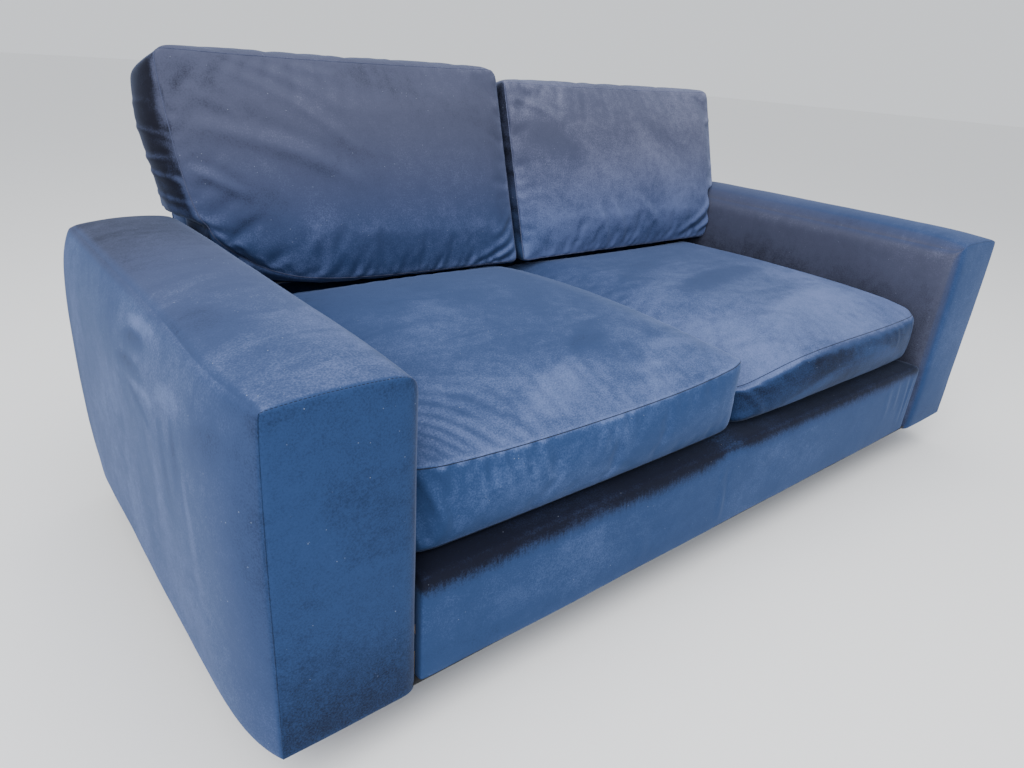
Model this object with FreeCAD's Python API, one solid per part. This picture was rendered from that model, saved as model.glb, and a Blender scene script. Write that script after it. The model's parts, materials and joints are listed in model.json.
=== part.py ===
import FreeCAD, Part
import math
import os

# Two-seat box-arm sofa with loose seat and back cushions on four tapered wooden feet.
# Millimetres. +Z is up, the sofa faces -Y, and left is -X as seen from the front.
# The origin is on the floor at the centre of the sofa's outline.

# ---- overall sizes ----
sofa_width = 1920.0        # over the seams of the two outer arm panels
arm_depth = 930.0
back_overhang = 140.0      # rear top edge of the raked back behind the arms
arm_height = 490.0         # upholstery bottom to arm top
arm_width = 204.0
back_height = 690.0        # upholstery bottom to the top of the fixed back
foot_height = 95.0

# ---- upholstery ----
cover = 2.0                # velvet with its backing
side_bulge = 22.0          # swell of the padded outer arm panel past its seams
arm_top_pad = 30.0
arm_side_pad = 12.0
arm_front_pad = 12.0
arm_inner_pad = 10.0
arm_rear_pad = 5.0
base_front_pad = 15.0
back_front_pad = 24.0
back_top_pad = 15.0
back_end_pad = 8.0
deck_pad = 21.0
deck_cloth = 2.0
dust_cloth = 1.0

# ---- base ----
base_front_setback = 6.0   # base front panel behind the arm fronts
deck_height = 182.0        # upholstery bottom to the seat deck
front_lip = 80.0           # how far the front cover runs back over the deck
rail = 25.0                # thickness of the base rails
centre_rail_drop = 12.0    # centre rail stays this far under the springs

# ---- arm boards ----
end_board = 18.0           # front, rear and bottom boards of an arm
top_board = 15.0
inner_board = 9.0
outer_board = 5.0

# ---- fixed back ----
back_rake = math.radians(17.0)
back_top_depth = 78.0      # front to rear at the top of the back
back_rail = 20.0
top_rail_height = 70.0
lower_rail_height = 60.0
lower_rail_lift = 8.0      # lower rail above the deck
post_width = 30.0
strap_width = 50.0
strap = 1.5
strap_count = 8

# ---- seat springs ----
spring_wire = 4.0
spring_loop = 40.0         # distance between two cross runs
spring_width = 50.0
spring_count = 10
clip_plate = 1.5
clip_length = 18.0
clip_width = 56.0
clip_play = 0.2            # clip clear of the wire

# ---- cushions ----
seat_setback = 43.0        # seat cushion front behind the arm fronts
seat_boxing = 169.0        # height of a seat cushion
seat_radius = 26.0
back_cushion_depth = 155.0
back_cushion_height = 464.0  # measured up the leaning front face
back_radius = 28.0
back_cushion_overhang = 36.0  # out over the arm, above the arm's top
cushion_cover = 3.0        # velvet with its lining
side_gap = 3.0             # cushion to arm
centre_gap = 4.0           # cushion to cushion
rear_gap = 3.0             # cushion to fixed back
rest_gap = 1.5             # cushion to what it rests on

# ---- zips ----
seat_zip_length = 620.0
back_zip_length = 580.0
zip_groove_width = 14.0
zip_groove_depth = 9.0
zip_tape = 1.2
zip_tape_width = 12.0
zip_end_room = 10.0        # groove past each end of the tape
slider_length = 11.0
slider_width = 8.0
slider_height = 4.0
pull_length = 24.0
pull_width = 5.0
pull_thickness = 1.4
slider_gap = 0.5           # slider to tape

# ---- fasteners ----
foot_inset = 130.0         # foot axis in from the sofa's sides and arm ends
foot_top_radius = 26.0
foot_bottom_radius = 17.0
foot_edge = 2.0            # chamfer round the sole
bolt_radius = 4.0
bolt_play = 0.1
foot_bolt_depth = 30.0     # bolt let into the foot
tee_barrel_radius = 5.5
tee_flange_radius = 10.0
tee_flange = 1.5
tee_barrel_length = 14.0
hole_play = 0.3
bolt_head_radius = 9.0
bolt_head = 5.0
nut_radius = 7.5
nut_height = 7.0
bolt_overrun = 3.0         # bolt end past its nut
arm_bolt_insets = (180.0, 480.0, 730.0)  # behind the arm fronts
arm_bolt_lift = 80.0       # above the upholstery bottom

# ---- places worked out from the sizes ----
overall_depth = arm_depth + back_overhang
half_width = sofa_width / 2
inner_x = half_width - arm_width
y_front = -overall_depth / 2
y_rear = overall_depth / 2
arm_rear = y_front + arm_depth
z_base = foot_height
z_frame = z_base + dust_cloth
z_arm = z_base + arm_height
z_deck = z_base + deck_height
z_back = z_base + back_height
z_pad = z_deck - deck_cloth - deck_pad
z_rail = z_pad - 2 * clip_plate - spring_wire - 2 * clip_play
z_wire = z_rail + clip_plate + clip_play + spring_wire / 2

tan_rake = math.tan(back_rake)
cos_rake = math.cos(back_rake)
sin_rake = math.sin(back_rake)
raked_cover = cover / cos_rake
raked_pad = back_front_pad / cos_rake
raked_strap = strap / cos_rake
raked_rail = back_rail / cos_rake


def back_inner(z):
    """Row Y of the fixed back's front face at height z."""
    return y_rear - back_top_depth - (z_back - z) * tan_rake


def back_outer(z):
    """Row Y of the fixed back's rear face at height z."""
    return arm_rear + (y_rear - arm_rear) * (z - z_base) / back_height


def box(x0, x1, y0, y1, z0, z1):
    """A box from its lowest to its highest corner."""
    return Part.makeBox(x1 - x0, y1 - y0, z1 - z0, FreeCAD.Vector(x0, y0, z0))


def prism(corners, x0, x1):
    """A prism along X whose section has the given (y, z) corners."""
    points = [FreeCAD.Vector(x0, y, z) for y, z in corners]
    outline = Part.makePolygon(points + points[:1])
    return Part.Face(outline).extrude(FreeCAD.Vector(x1 - x0, 0, 0))


def raked(x0, x1, z0, z1, front, rear):
    """A slab of the raked back, between two offsets from its front and rear faces."""
    corners = [
        (back_inner(z0) + front, z0),
        (back_outer(z0) - rear, z0),
        (back_outer(z1) - rear, z1),
        (back_inner(z1) + front, z1),
    ]
    return prism(corners, x0, x1)


def raked_layer(x0, x1, z0, z1, front, thickness):
    """A layer of even thickness along the front face of the raked back."""
    corners = [
        (back_inner(z0) + front, z0),
        (back_inner(z0) + front + thickness, z0),
        (back_inner(z1) + front + thickness, z1),
        (back_inner(z1) + front, z1),
    ]
    return prism(corners, x0, x1)


def rod_x(radius, x0, x1, y, z):
    """A round bar along X."""
    return Part.makeCylinder(radius, x1 - x0, FreeCAD.Vector(x0, y, z), FreeCAD.Vector(1, 0, 0))


def rod_z(radius, z0, z1, x, y):
    """A round bar along Z."""
    return Part.makeCylinder(radius, z1 - z0, FreeCAD.Vector(x, y, z0), FreeCAD.Vector(0, 0, 1))


def mirrored(shape):
    """The same shape on the other side of the sofa."""
    return shape.mirror(FreeCAD.Vector(0, 0, 0), FreeCAD.Vector(1, 0, 0))


def save(node, *solids):
    """Write one node, as one solid or as a group of separate solids."""
    shape = solids[0] if len(solids) == 1 else Part.makeCompound(list(solids))
    shape.exportStep("parts/" + node + ".step")


def save_pair(node, shape):
    """Write the right-hand piece and its mirror image on the left."""
    save(node + "_right", shape)
    save(node + "_left", mirrored(shape))


# ---- arms ----
arm_x0 = inner_x + cover + arm_inner_pad
arm_x1 = half_width - cover - arm_side_pad
arm_y0 = y_front + cover + arm_front_pad
arm_y1 = arm_rear - cover - arm_rear_pad
arm_z1 = z_arm - cover - arm_top_pad
bay_y0 = arm_y0 + end_board
bay_y1 = arm_y1 - end_board
board_z1 = arm_z1 - top_board
z_bolt = z_base + arm_bolt_lift
bolt_ys = [y_front + inset for inset in arm_bolt_insets]
foot_x = half_width - foot_inset
foot_ys = {"front": y_front + foot_inset, "rear": arm_rear - foot_inset}


def arm_block(inset, z0):
    """The padded arm, its outer side swelling in plan, drawn in by an inset."""
    x0 = inner_x + inset
    x1 = half_width - inset
    y0 = y_front + inset
    y1 = arm_rear - inset
    front_inner = FreeCAD.Vector(x0, y0, z0)
    front_outer = FreeCAD.Vector(x1, y0, z0)
    swell = FreeCAD.Vector(x1 + side_bulge, (y0 + y1) / 2, z0)
    rear_outer = FreeCAD.Vector(x1, y1, z0)
    rear_inner = FreeCAD.Vector(x0, y1, z0)
    edges = [
        Part.LineSegment(front_inner, front_outer).toShape(),
        Part.Arc(front_outer, swell, rear_outer).toShape(),
        Part.LineSegment(rear_outer, rear_inner).toShape(),
        Part.LineSegment(rear_inner, front_inner).toShape(),
    ]
    plan = Part.Face(Part.Wire(edges))
    return plan.extrude(FreeCAD.Vector(0, 0, z_arm - inset - z0))


def drilled(shape, x0, x1):
    """The shape with the three arm bolt holes through it."""
    for y in bolt_ys:
        shape = shape.cut(rod_x(bolt_radius + hole_play, x0, x1, y, z_bolt))
    return shape


def make_arms():
    """Boards, padding and cover of both arms."""
    boards = {
        "arm_front_board": box(arm_x0, arm_x1, arm_y0, bay_y0, z_frame, arm_z1),
        "arm_rear_board": box(arm_x0, arm_x1, bay_y1, arm_y1, z_frame, arm_z1),
        "arm_top_board": box(arm_x0, arm_x1, bay_y0, bay_y1, board_z1, arm_z1),
        "arm_outer_board": box(arm_x1 - outer_board, arm_x1, bay_y0, bay_y1, z_frame, board_z1),
    }
    for node, shape in boards.items():
        save_pair(node, shape)
    inner = box(arm_x0, arm_x0 + inner_board, bay_y0, bay_y1, z_frame, board_z1)
    save_pair("arm_inner_board", drilled(inner, arm_x0 - 1, arm_x0 + inner_board + 1))
    bottom = box(arm_x0 + inner_board, arm_x1 - outer_board, bay_y0, bay_y1, z_frame, z_frame + end_board)
    for y in foot_ys.values():
        bottom = bottom.cut(rod_z(tee_barrel_radius, z_frame, z_frame + end_board, foot_x, y))
    save_pair("arm_bottom_board", bottom)
    frame_room = box(arm_x0, arm_x1, arm_y0, arm_y1, z_frame, arm_z1)
    padding = arm_block(cover, z_frame).cut(frame_room)
    save_pair("arm_padding", drilled(padding, inner_x, arm_x0 + 1))
    shell = arm_block(0, z_frame).cut(arm_block(cover, z_frame - cover))
    save_pair("arm_cover", drilled(shell, inner_x - 1, inner_x + cover + 1))


# ---- base ----
base_y0 = y_front + base_front_setback
front_rail_y0 = base_y0 + cover + base_front_pad
front_rail_y1 = front_rail_y0 + rail
rail_front = raked_cover + raked_pad + raked_strap
rear_rail_y1 = back_inner(z_deck) + rail_front + raked_rail
rear_rail_y0 = rear_rail_y1 - rail
lip_y1 = base_y0 + front_lip


def make_base():
    """Rails, front padding and cover, deck and dust cover."""
    save("base_front_rail", box(-inner_x, inner_x, front_rail_y0, front_rail_y1, z_frame, z_rail))
    save("base_rear_rail", box(-inner_x, inner_x, rear_rail_y0, rear_rail_y1, z_frame, z_rail))
    side = box(inner_x - rail, inner_x, front_rail_y1, rear_rail_y0, z_frame, z_rail)
    save_pair("base_side_rail", drilled(side, inner_x - rail - 1, inner_x + 1))
    centre_top = z_rail - centre_rail_drop
    save("base_centre_rail", box(-rail / 2, rail / 2, front_rail_y1, rear_rail_y0, z_frame, centre_top))
    face_pad = box(-inner_x, inner_x, base_y0 + cover, front_rail_y0, z_frame, z_deck - cover)
    lip_pad = box(-inner_x, inner_x, front_rail_y0, lip_y1, z_pad, z_deck - cover)
    save("base_front_padding", face_pad.fuse(lip_pad).removeSplitter())
    face = box(-inner_x, inner_x, base_y0, base_y0 + cover, z_frame, z_deck)
    lip = box(-inner_x, inner_x, base_y0 + cover, lip_y1, z_deck - cover, z_deck)
    save("base_front_cover", face.fuse(lip).removeSplitter())
    save("deck_pad", box(-inner_x, inner_x, lip_y1, back_inner(z_deck), z_pad, z_deck - deck_cloth))
    save("deck_cloth", box(-inner_x, inner_x, lip_y1, back_inner(z_deck), z_deck - deck_cloth, z_deck))
    dust = box(-half_width + cover, half_width - cover, base_y0, arm_rear - cover, z_base, z_frame)
    for y in foot_ys.values():
        for x in (-foot_x, foot_x):
            dust = dust.cut(rod_z(tee_barrel_radius, z_base, z_frame, x, y))
    save("dust_cover", dust)


# ---- seat springs ----
def spring(x, y0, y1):
    """One flat serpentine spring running front to rear at the given X."""
    loops = int((y1 - y0) // spring_loop)
    pitch = (y1 - y0) / loops
    bend = pitch / 2
    reach = spring_width / 2 - bend
    edges = []
    for index in range(loops + 1):
        side = 1 if index % 2 == 0 else -1
        y = y0 + index * pitch
        start = FreeCAD.Vector(x - side * reach, y, z_wire)
        end = FreeCAD.Vector(x + side * reach, y, z_wire)
        edges.append(Part.LineSegment(start, end).toShape())
        if index < loops:
            crest = FreeCAD.Vector(x + side * (reach + bend), y + bend, z_wire)
            turn = FreeCAD.Vector(x + side * reach, y + pitch, z_wire)
            edges.append(Part.Arc(end, crest, turn).toShape())
    path = Part.Wire(edges)
    start = path.OrderedVertexes[0].Point
    section = Part.Wire(Part.makeCircle(spring_wire / 2, start, FreeCAD.Vector(1, 0, 0)))
    return path.makePipeShell([section], True, False)


def clip(x, y):
    """One folded steel clip: a base on the rail, a top, and a web behind the wire."""
    x0 = x - clip_width / 2
    x1 = x + clip_width / 2
    y0 = y - clip_length / 2
    y1 = y + clip_length / 2
    web = spring_wire / 2 + clip_play
    outward = -1 if y < 0 else 1
    web_y = sorted((y + outward * web, y + outward * (web + clip_plate)))
    base = box(x0, x1, y0, y1, z_rail, z_rail + clip_plate)
    top = box(x0, x1, y0, y1, z_pad - clip_plate, z_pad)
    back = box(x0, x1, web_y[0], web_y[1], z_rail, z_pad)
    return base.fuse([top, back]).removeSplitter()


def make_springs():
    """The springs and the clips that hold both ends of each."""
    y0 = (front_rail_y0 + front_rail_y1) / 2
    y1 = (rear_rail_y0 + rear_rail_y1) / 2
    spacing = 2 * (inner_x - rail) / spring_count
    places = [(index + 0.5 - spring_count / 2) * spacing for index in range(spring_count)]
    save("seat_springs", *[spring(x, y0, y1) for x in places])
    save("spring_clips", *[clip(x, y) for x in places for y in (y0, y1)])


# ---- fixed back ----
def make_back():
    """Posts, rails, webbing, padding and covers of the raked back."""
    room_x = inner_x - cover
    post_x = room_x - back_end_pad
    room_z = z_back - cover
    wood_z = room_z - back_top_pad
    past = overall_depth
    outside = raked(-inner_x, inner_x, z_deck, z_back, 0, 0)
    inside = raked(-room_x, room_x, z_deck - 1, room_z, raked_cover, -past)
    save("back_cover", outside.cut(inside))
    soft = raked(-room_x, room_x, z_deck, room_z, raked_cover, raked_cover)
    hard = raked(-post_x, post_x, z_deck - 1, wood_z, raked_cover + raked_pad, -past)
    save("back_padding", soft.cut(hard))
    rear_skin = [
        (back_outer(z_frame) - raked_cover, z_frame),
        (back_outer(z_frame), z_frame),
        (back_outer(room_z), room_z),
        (back_outer(room_z) - raked_cover, room_z),
    ]
    save("back_rear_cover", prism(rear_skin, -room_x, room_x))
    lower_z = z_deck + lower_rail_lift
    top_z = wood_z - top_rail_height
    save("back_top_rail", raked_layer(-post_x, post_x, top_z, wood_z, rail_front, raked_rail))
    lower_top = lower_z + lower_rail_height
    save("back_lower_rail", raked_layer(-post_x, post_x, lower_z, lower_top, rail_front, raked_rail))
    post_front = rail_front + raked_rail
    section = [
        (rear_rail_y1, z_frame),
        (back_outer(z_frame) - raked_cover, z_frame),
        (back_outer(wood_z) - raked_cover, wood_z),
        (back_inner(wood_z) + post_front, wood_z),
        (back_inner(z_deck) + post_front, z_deck),
    ]
    post_places = (-post_x, -post_width / 2, post_x - post_width)
    save("back_posts", *[prism(section, x, x + post_width) for x in post_places])
    strap_pitch = 2 * post_x / strap_count
    strap_front = raked_cover + raked_pad
    straps = []
    for index in range(strap_count):
        x = (index + 0.5 - strap_count / 2) * strap_pitch
        x0 = x - strap_width / 2
        straps.append(raked_layer(x0, x0 + strap_width, lower_z, wood_z, strap_front, raked_strap))
    save("back_webbing", *straps)


# ---- feet and bolts ----
def make_feet():
    """Four tapered feet, and the bolt and tee nut that hold each."""
    bolts = []
    nuts = []
    bolt_top = z_frame + end_board
    for end, y in foot_ys.items():
        for side, x in (("left", -foot_x), ("right", foot_x)):
            foot = Part.makeCone(foot_bottom_radius, foot_top_radius, foot_height, FreeCAD.Vector(x, y, 0))
            sole = [edge for edge in foot.Edges if edge.BoundBox.ZMax < foot_edge]
            foot = foot.makeChamfer(foot_edge, sole)
            foot = foot.cut(rod_z(bolt_radius, z_base - foot_bolt_depth, z_base + 1, x, y))
            save("foot_" + end + "_" + side, foot)
            bolts.append(rod_z(bolt_radius - bolt_play, z_base - foot_bolt_depth, bolt_top, x, y))
            barrel = rod_z(tee_barrel_radius, bolt_top - tee_barrel_length, bolt_top, x, y)
            flange = rod_z(tee_flange_radius, bolt_top, bolt_top + tee_flange, x, y)
            bore = rod_z(bolt_radius, z_base, bolt_top + tee_flange + 1, x, y)
            nuts.append(barrel.fuse(flange).cut(bore))
    save("foot_bolts", *bolts)
    save("foot_tee_nuts", *nuts)


def make_arm_bolts():
    """The bolts that clamp each arm to the base, and their nuts."""
    head_x = arm_x0 + inner_board
    nut_x = inner_x - rail
    end_x = nut_x - nut_height - bolt_overrun
    bolts = []
    nuts = []
    for y in bolt_ys:
        shank = rod_x(bolt_radius - bolt_play, end_x, head_x, y, z_bolt)
        head = rod_x(bolt_head_radius, head_x, head_x + bolt_head, y, z_bolt)
        bolt = shank.fuse(head)
        corners = []
        for corner in range(6):
            turn = math.radians(60 * corner)
            corners.append((y + nut_radius * math.cos(turn), z_bolt + nut_radius * math.sin(turn)))
        bore = rod_x(bolt_radius, nut_x - nut_height - 1, nut_x + 1, y, z_bolt)
        nut = prism(corners, nut_x - nut_height, nut_x).cut(bore)
        bolts += [bolt, mirrored(bolt)]
        nuts += [nut, mirrored(nut)]
    save("arm_bolts", *bolts)
    save("arm_bolt_nuts", *nuts)


# ---- cushions ----
cushion_x0 = centre_gap / 2
cushion_x1 = inner_x - side_gap
cushion_mid = (cushion_x0 + cushion_x1) / 2
seat_y0 = y_front + seat_setback
seat_y1 = back_inner(z_deck) - rear_gap
seat_z0 = z_deck + rest_gap
seat_z1 = seat_z0 + seat_boxing
back_z0 = seat_z1 + rest_gap
back_y0 = back_inner(back_z0) - (rear_gap + back_cushion_depth) / cos_rake


def seat_block(inset):
    """The seat cushion's rounded outline, drawn in by an inset."""
    block = box(
        cushion_x0 + inset, cushion_x1 - inset,
        seat_y0 + inset, seat_y1 - inset,
        seat_z0 + inset, seat_z1 - inset,
    )
    return block.makeFillet(seat_radius - inset, block.Edges)


def back_section(inset, floor):
    """The leaning section of the back cushion above a level floor, drawn in by an inset."""
    corners = []
    for across, tops in ((inset, (False, True)), (back_cushion_depth - inset, (True, False))):
        for top in tops:
            foot = (across * sin_rake + inset + floor - back_z0) / cos_rake
            up = back_cushion_height - inset if top else foot
            y = back_y0 + across * cos_rake + up * sin_rake
            z = back_z0 - across * sin_rake + up * cos_rake
            corners.append((y, z))
    return corners


def back_block(inset):
    """The back cushion's outline: a leaning block, wider where it rests over the arm."""
    parts = []
    for floor, reach in ((back_z0, 0), (z_arm + rest_gap, back_cushion_overhang)):
        section = back_section(inset, floor)
        block = prism(section, cushion_x0 + inset, cushion_x1 + reach - inset)
        parts.append(block.makeFillet(back_radius - inset, block.Edges))
    return parts[0].fuse(parts[1]).removeSplitter()


def make_seat_cushions():
    """Foam, cover, zip and slider of both seat cushions; the zip is sunk in the rear side."""
    z_mid = (seat_z0 + seat_z1) / 2
    half_zip = seat_zip_length / 2
    floor_y = seat_y1 - zip_groove_depth
    x0 = cushion_mid - half_zip
    x1 = cushion_mid + half_zip

    def groove(wall):
        room = zip_end_room + wall
        half = zip_groove_width / 2 + wall
        return box(x0 - room, x1 + room, floor_y - wall, seat_y1 + 1, z_mid - half, z_mid + half)

    inside = seat_block(cushion_cover).cut(groove(cushion_cover))
    save_pair("seat_foam", inside)
    save_pair("seat_cover", seat_block(0).cut(groove(0)).cut(inside))
    half_tape = zip_tape_width / 2
    save_pair("seat_zip", box(x0, x1, floor_y, floor_y + zip_tape, z_mid - half_tape, z_mid + half_tape))
    y = floor_y + zip_tape + slider_gap
    body = box(x1 - slider_length, x1, y, y + slider_height, z_mid - slider_width / 2, z_mid + slider_width / 2)
    pull_x = x1 - slider_length - pull_length
    half_pull = pull_width / 2
    pull = box(pull_x, x1 - slider_length, y, y + pull_thickness, z_mid - half_pull, z_mid + half_pull)
    save_pair("seat_zip_slider", body.fuse(pull))


def make_back_cushions():
    """Fibre pad, cover, zip and slider of both back cushions; the zip is sunk in the underside."""
    y_mid = back_y0 + back_cushion_depth / cos_rake / 2
    half_zip = back_zip_length / 2
    roof_z = back_z0 + zip_groove_depth
    x0 = cushion_mid - half_zip
    x1 = cushion_mid + half_zip

    def groove(wall):
        room = zip_end_room + wall
        half = zip_groove_width / 2 + wall
        return box(x0 - room, x1 + room, y_mid - half, y_mid + half, back_z0 - 1, roof_z + wall)

    inside = back_block(cushion_cover).cut(groove(cushion_cover))
    save_pair("back_cushion_pad", inside)
    save_pair("back_cushion_cover", back_block(0).cut(groove(0)).cut(inside))
    half_tape = zip_tape_width / 2
    save_pair("back_cushion_zip", box(x0, x1, y_mid - half_tape, y_mid + half_tape, roof_z - zip_tape, roof_z))
    z = roof_z - zip_tape - slider_gap
    body = box(x1 - slider_length, x1, y_mid - slider_width / 2, y_mid + slider_width / 2, z - slider_height, z)
    pull_x = x1 - slider_length - pull_length
    half_pull = pull_width / 2
    pull = box(pull_x, x1 - slider_length, y_mid - half_pull, y_mid + half_pull, z - pull_thickness, z)
    save_pair("back_cushion_zip_slider", body.fuse(pull))


os.makedirs("parts", exist_ok=True)
make_arms()
make_base()
make_springs()
make_back()
make_feet()
make_arm_bolts()
make_seat_cushions()
make_back_cushions()
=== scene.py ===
import sys

import json
import logging
import math
from dataclasses import dataclass
from enum import Enum
from typing import Callable, Iterable, Sequence

import bmesh
import bpy
import numpy as np
from mathutils import Matrix, Vector, noise


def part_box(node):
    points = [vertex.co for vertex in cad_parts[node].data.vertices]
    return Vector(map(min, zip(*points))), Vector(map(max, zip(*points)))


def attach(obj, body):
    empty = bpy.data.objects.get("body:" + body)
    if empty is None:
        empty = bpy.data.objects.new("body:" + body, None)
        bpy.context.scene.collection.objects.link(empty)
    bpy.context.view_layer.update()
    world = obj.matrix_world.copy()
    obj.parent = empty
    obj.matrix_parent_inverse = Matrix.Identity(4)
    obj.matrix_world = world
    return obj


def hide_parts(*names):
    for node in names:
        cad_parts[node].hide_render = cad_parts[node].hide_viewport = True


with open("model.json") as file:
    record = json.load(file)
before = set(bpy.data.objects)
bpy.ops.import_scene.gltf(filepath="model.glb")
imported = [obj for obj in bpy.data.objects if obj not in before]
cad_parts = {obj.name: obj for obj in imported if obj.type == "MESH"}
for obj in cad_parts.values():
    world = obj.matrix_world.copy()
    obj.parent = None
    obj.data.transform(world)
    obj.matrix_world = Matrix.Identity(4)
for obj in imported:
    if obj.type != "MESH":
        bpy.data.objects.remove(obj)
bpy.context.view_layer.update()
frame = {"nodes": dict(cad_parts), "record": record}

log = logging.getLogger("sofa")

Place = tuple[float, float, float]
Share = tuple[float, float]
Box = tuple[np.ndarray, np.ndarray]
Colour = tuple[float, float, float]
Socket = bpy.types.NodeSocket

REST = "rest"
# Painted tone attribute: mostly painted light and shade on each face, in creases and as shadow, plus the
# pile's patches.
NAP_AND_SHADE = "nap_and_shade"
# Painted sheen attribute: greying and paling of the velvet where light glances off it.
PAINTED_SHEEN = "painted_sheen"
# Painted shadow fringe attribute: ragged streaks along the edge of the painted shadow band on the base front.
PAINTED_SHADOW_FRINGE = "painted_shadow_fringe"
FIRST_FRAME = 1
LAST_FRAME = 20
# Direction of the painted light that makes creases lighter and darker.
PAINTED_LIGHT_DIRECTION = (-0.35, -0.55, 0.75)
BACK_RAKE = math.radians(17)
ON_FACE = 1 - 1e-4
FOLD_MARGIN = 0.007
EASED_ANGLE = math.radians(40)
WELT_RADIUS = 0.0008
FULL_WELT_RADIUS = 0.0010
CLOTH = {
    "quality": 5,
    "mass": 0.3,
    "tension_stiffness": 18,
    "compression_stiffness": 12,
    "shear_stiffness": 6,
    "bending_stiffness": 0.6,
    "air_damping": 3,
    "use_pressure": True,
    "pin_stiffness": 1.0,
}


# ---------------------------------------------------------------- modelling


def deselect() -> None:
    """Leave object mode with nothing selected."""
    if bpy.context.object is not None and bpy.context.object.mode != "OBJECT":
        bpy.ops.object.mode_set(mode="OBJECT")
    bpy.ops.object.select_all(action="DESELECT")


def activate(piece: bpy.types.Object) -> None:
    """Select one piece alone and make it the active one."""
    deselect()
    piece.select_set(True)
    bpy.context.view_layer.objects.active = piece


def added(name: str) -> bpy.types.Object:
    """Name the primitive that was just added and put its place into its mesh.

    Args:
        name: The piece's name.

    Returns:
        The piece, with its object at the origin.
    """
    piece = bpy.context.active_object
    piece.name = name
    piece.data.name = name
    bpy.ops.object.transform_apply(location=True, rotation=True, scale=True)
    return piece


def coordinates(piece: bpy.types.Object) -> np.ndarray:
    """Read a mesh's points as an array of rows."""
    points = np.empty(len(piece.data.vertices) * 3)
    piece.data.vertices.foreach_get("co", points)
    return points.reshape(-1, 3)


def move_to(piece: bpy.types.Object, points: np.ndarray) -> None:
    """Put a mesh's points at the rows of an array."""
    piece.data.vertices.foreach_set("co", points.ravel())
    piece.data.update()


def point_normals(piece: bpy.types.Object) -> np.ndarray:
    """Read the normals at a mesh's points."""
    normals = np.empty(len(piece.data.vertices) * 3)
    piece.data.vertex_normals.foreach_get("vector", normals)
    return normals.reshape(-1, 3)


def raise_by(piece: bpy.types.Object, heights: np.ndarray) -> None:
    """Move a mesh's points along their normals."""
    move_to(piece, coordinates(piece) + point_normals(piece) * heights[:, None])


def stations(low: float, high: float, cell: float, marks: Sequence[float] = ()) -> np.ndarray:
    """Space cuts evenly between two ends, with a cut at each mark.

    Args:
        low: The first place.
        high: The last place.
        cell: The distance aimed at between two cuts.
        marks: Places that must have a cut of their own.

    Returns:
        The places in order, both ends included.
    """
    stops = sorted({low, high, *[mark for mark in marks if low < mark < high]})
    places = [low]
    for start, end in zip(stops, stops[1:]):
        count = max(1, round((end - start) / cell))
        places += [start + (end - start) * (step + 1) / count for step in range(count)]
    return np.array(places)


def near_ends(low: float, high: float, steps: Sequence[float]) -> list[float]:
    """Places at the given distances in from both ends."""
    return [low + step for step in steps] + [high - step for step in steps]


def gridded_block(name: str, grid: Sequence[np.ndarray]) -> bpy.types.Object:
    """Model a block whose sides are divided at the given places along X, Y and Z.

    Args:
        name: The piece's name.
        grid: The places of the cuts along each axis, both ends included.

    Returns:
        The block, with its undivided place kept in the rest attribute.
    """
    low = np.array([places[0] for places in grid])
    high = np.array([places[-1] for places in grid])
    deselect()
    bpy.ops.mesh.primitive_cube_add(size=1, location=(low + high) / 2, scale=high - low)
    piece = added(name)
    bpy.ops.object.mode_set(mode="EDIT")
    bpy.ops.mesh.select_mode(type="EDGE")
    for axis, places in enumerate(grid):
        bpy.ops.mesh.select_all(action="DESELECT")
        mesh = bmesh.from_edit_mesh(piece.data)
        for edge in mesh.edges:
            run = edge.verts[1].co - edge.verts[0].co
            edge.select_set(abs(run[axis]) > run.length * 0.99)
        bmesh.update_edit_mesh(piece.data)
        if len(places) > 2:
            bpy.ops.mesh.subdivide(number_cuts=len(places) - 2)
    bpy.ops.object.mode_set(mode="OBJECT")
    points = coordinates(piece)
    for axis, places in enumerate(grid):
        share = (points[:, axis] - low[axis]) / (high[axis] - low[axis])
        points[:, axis] = places[np.rint(share * (len(places) - 1)).astype(int)]
    move_to(piece, points)
    keep_rest(piece, points)
    return piece


def keep_rest(piece: bpy.types.Object, points: np.ndarray) -> None:
    """Remember where each point of a block lay before it was shaped."""
    attribute = piece.data.attributes.new(REST, "FLOAT_VECTOR", "POINT")
    attribute.data.foreach_set("vector", points.ravel())


def rest_of(piece: bpy.types.Object) -> np.ndarray:
    """Read where each point of a block lay before it was shaped."""
    points = np.empty(len(piece.data.vertices) * 3)
    piece.data.attributes[REST].data.foreach_get("vector", points)
    return points.reshape(-1, 3)


def rounded(points: np.ndarray, low_radii: Place, high_radii: Place) -> np.ndarray:
    """Round a block's edges, each side having its own radius.

    Args:
        points: The block's points.
        low_radii: The radii at the low X, Y and Z sides.
        high_radii: The radii at the high X, Y and Z sides.

    Returns:
        The rounded block's points.
    """
    low_r, high_r = np.array(low_radii), np.array(high_radii)
    core = np.clip(points, points.min(0) + low_r, points.max(0) - high_r)
    reach = points - core
    radii = np.where(reach < 0, low_r, high_r)
    share = reach / radii
    size = np.maximum(np.linalg.norm(share, axis=1, keepdims=True), 1.0)
    return core + share / size * radii


def across(rest: np.ndarray) -> np.ndarray:
    """Each point's place between the block's ends, from -1 to 1 along every axis."""
    low, high = rest.min(0), rest.max(0)
    return 2 * (rest - low) / (high - low) - 1


def on_side(rest: np.ndarray, axis: int, sign: int) -> np.ndarray:
    """Pick out the points on one side of a block."""
    return across(rest)[:, axis] * sign > ON_FACE


def on_edges(rest: np.ndarray) -> np.ndarray:
    """Pick out the points on a block's edges."""
    return (np.abs(across(rest)) > ON_FACE).sum(1) >= 2


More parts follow.
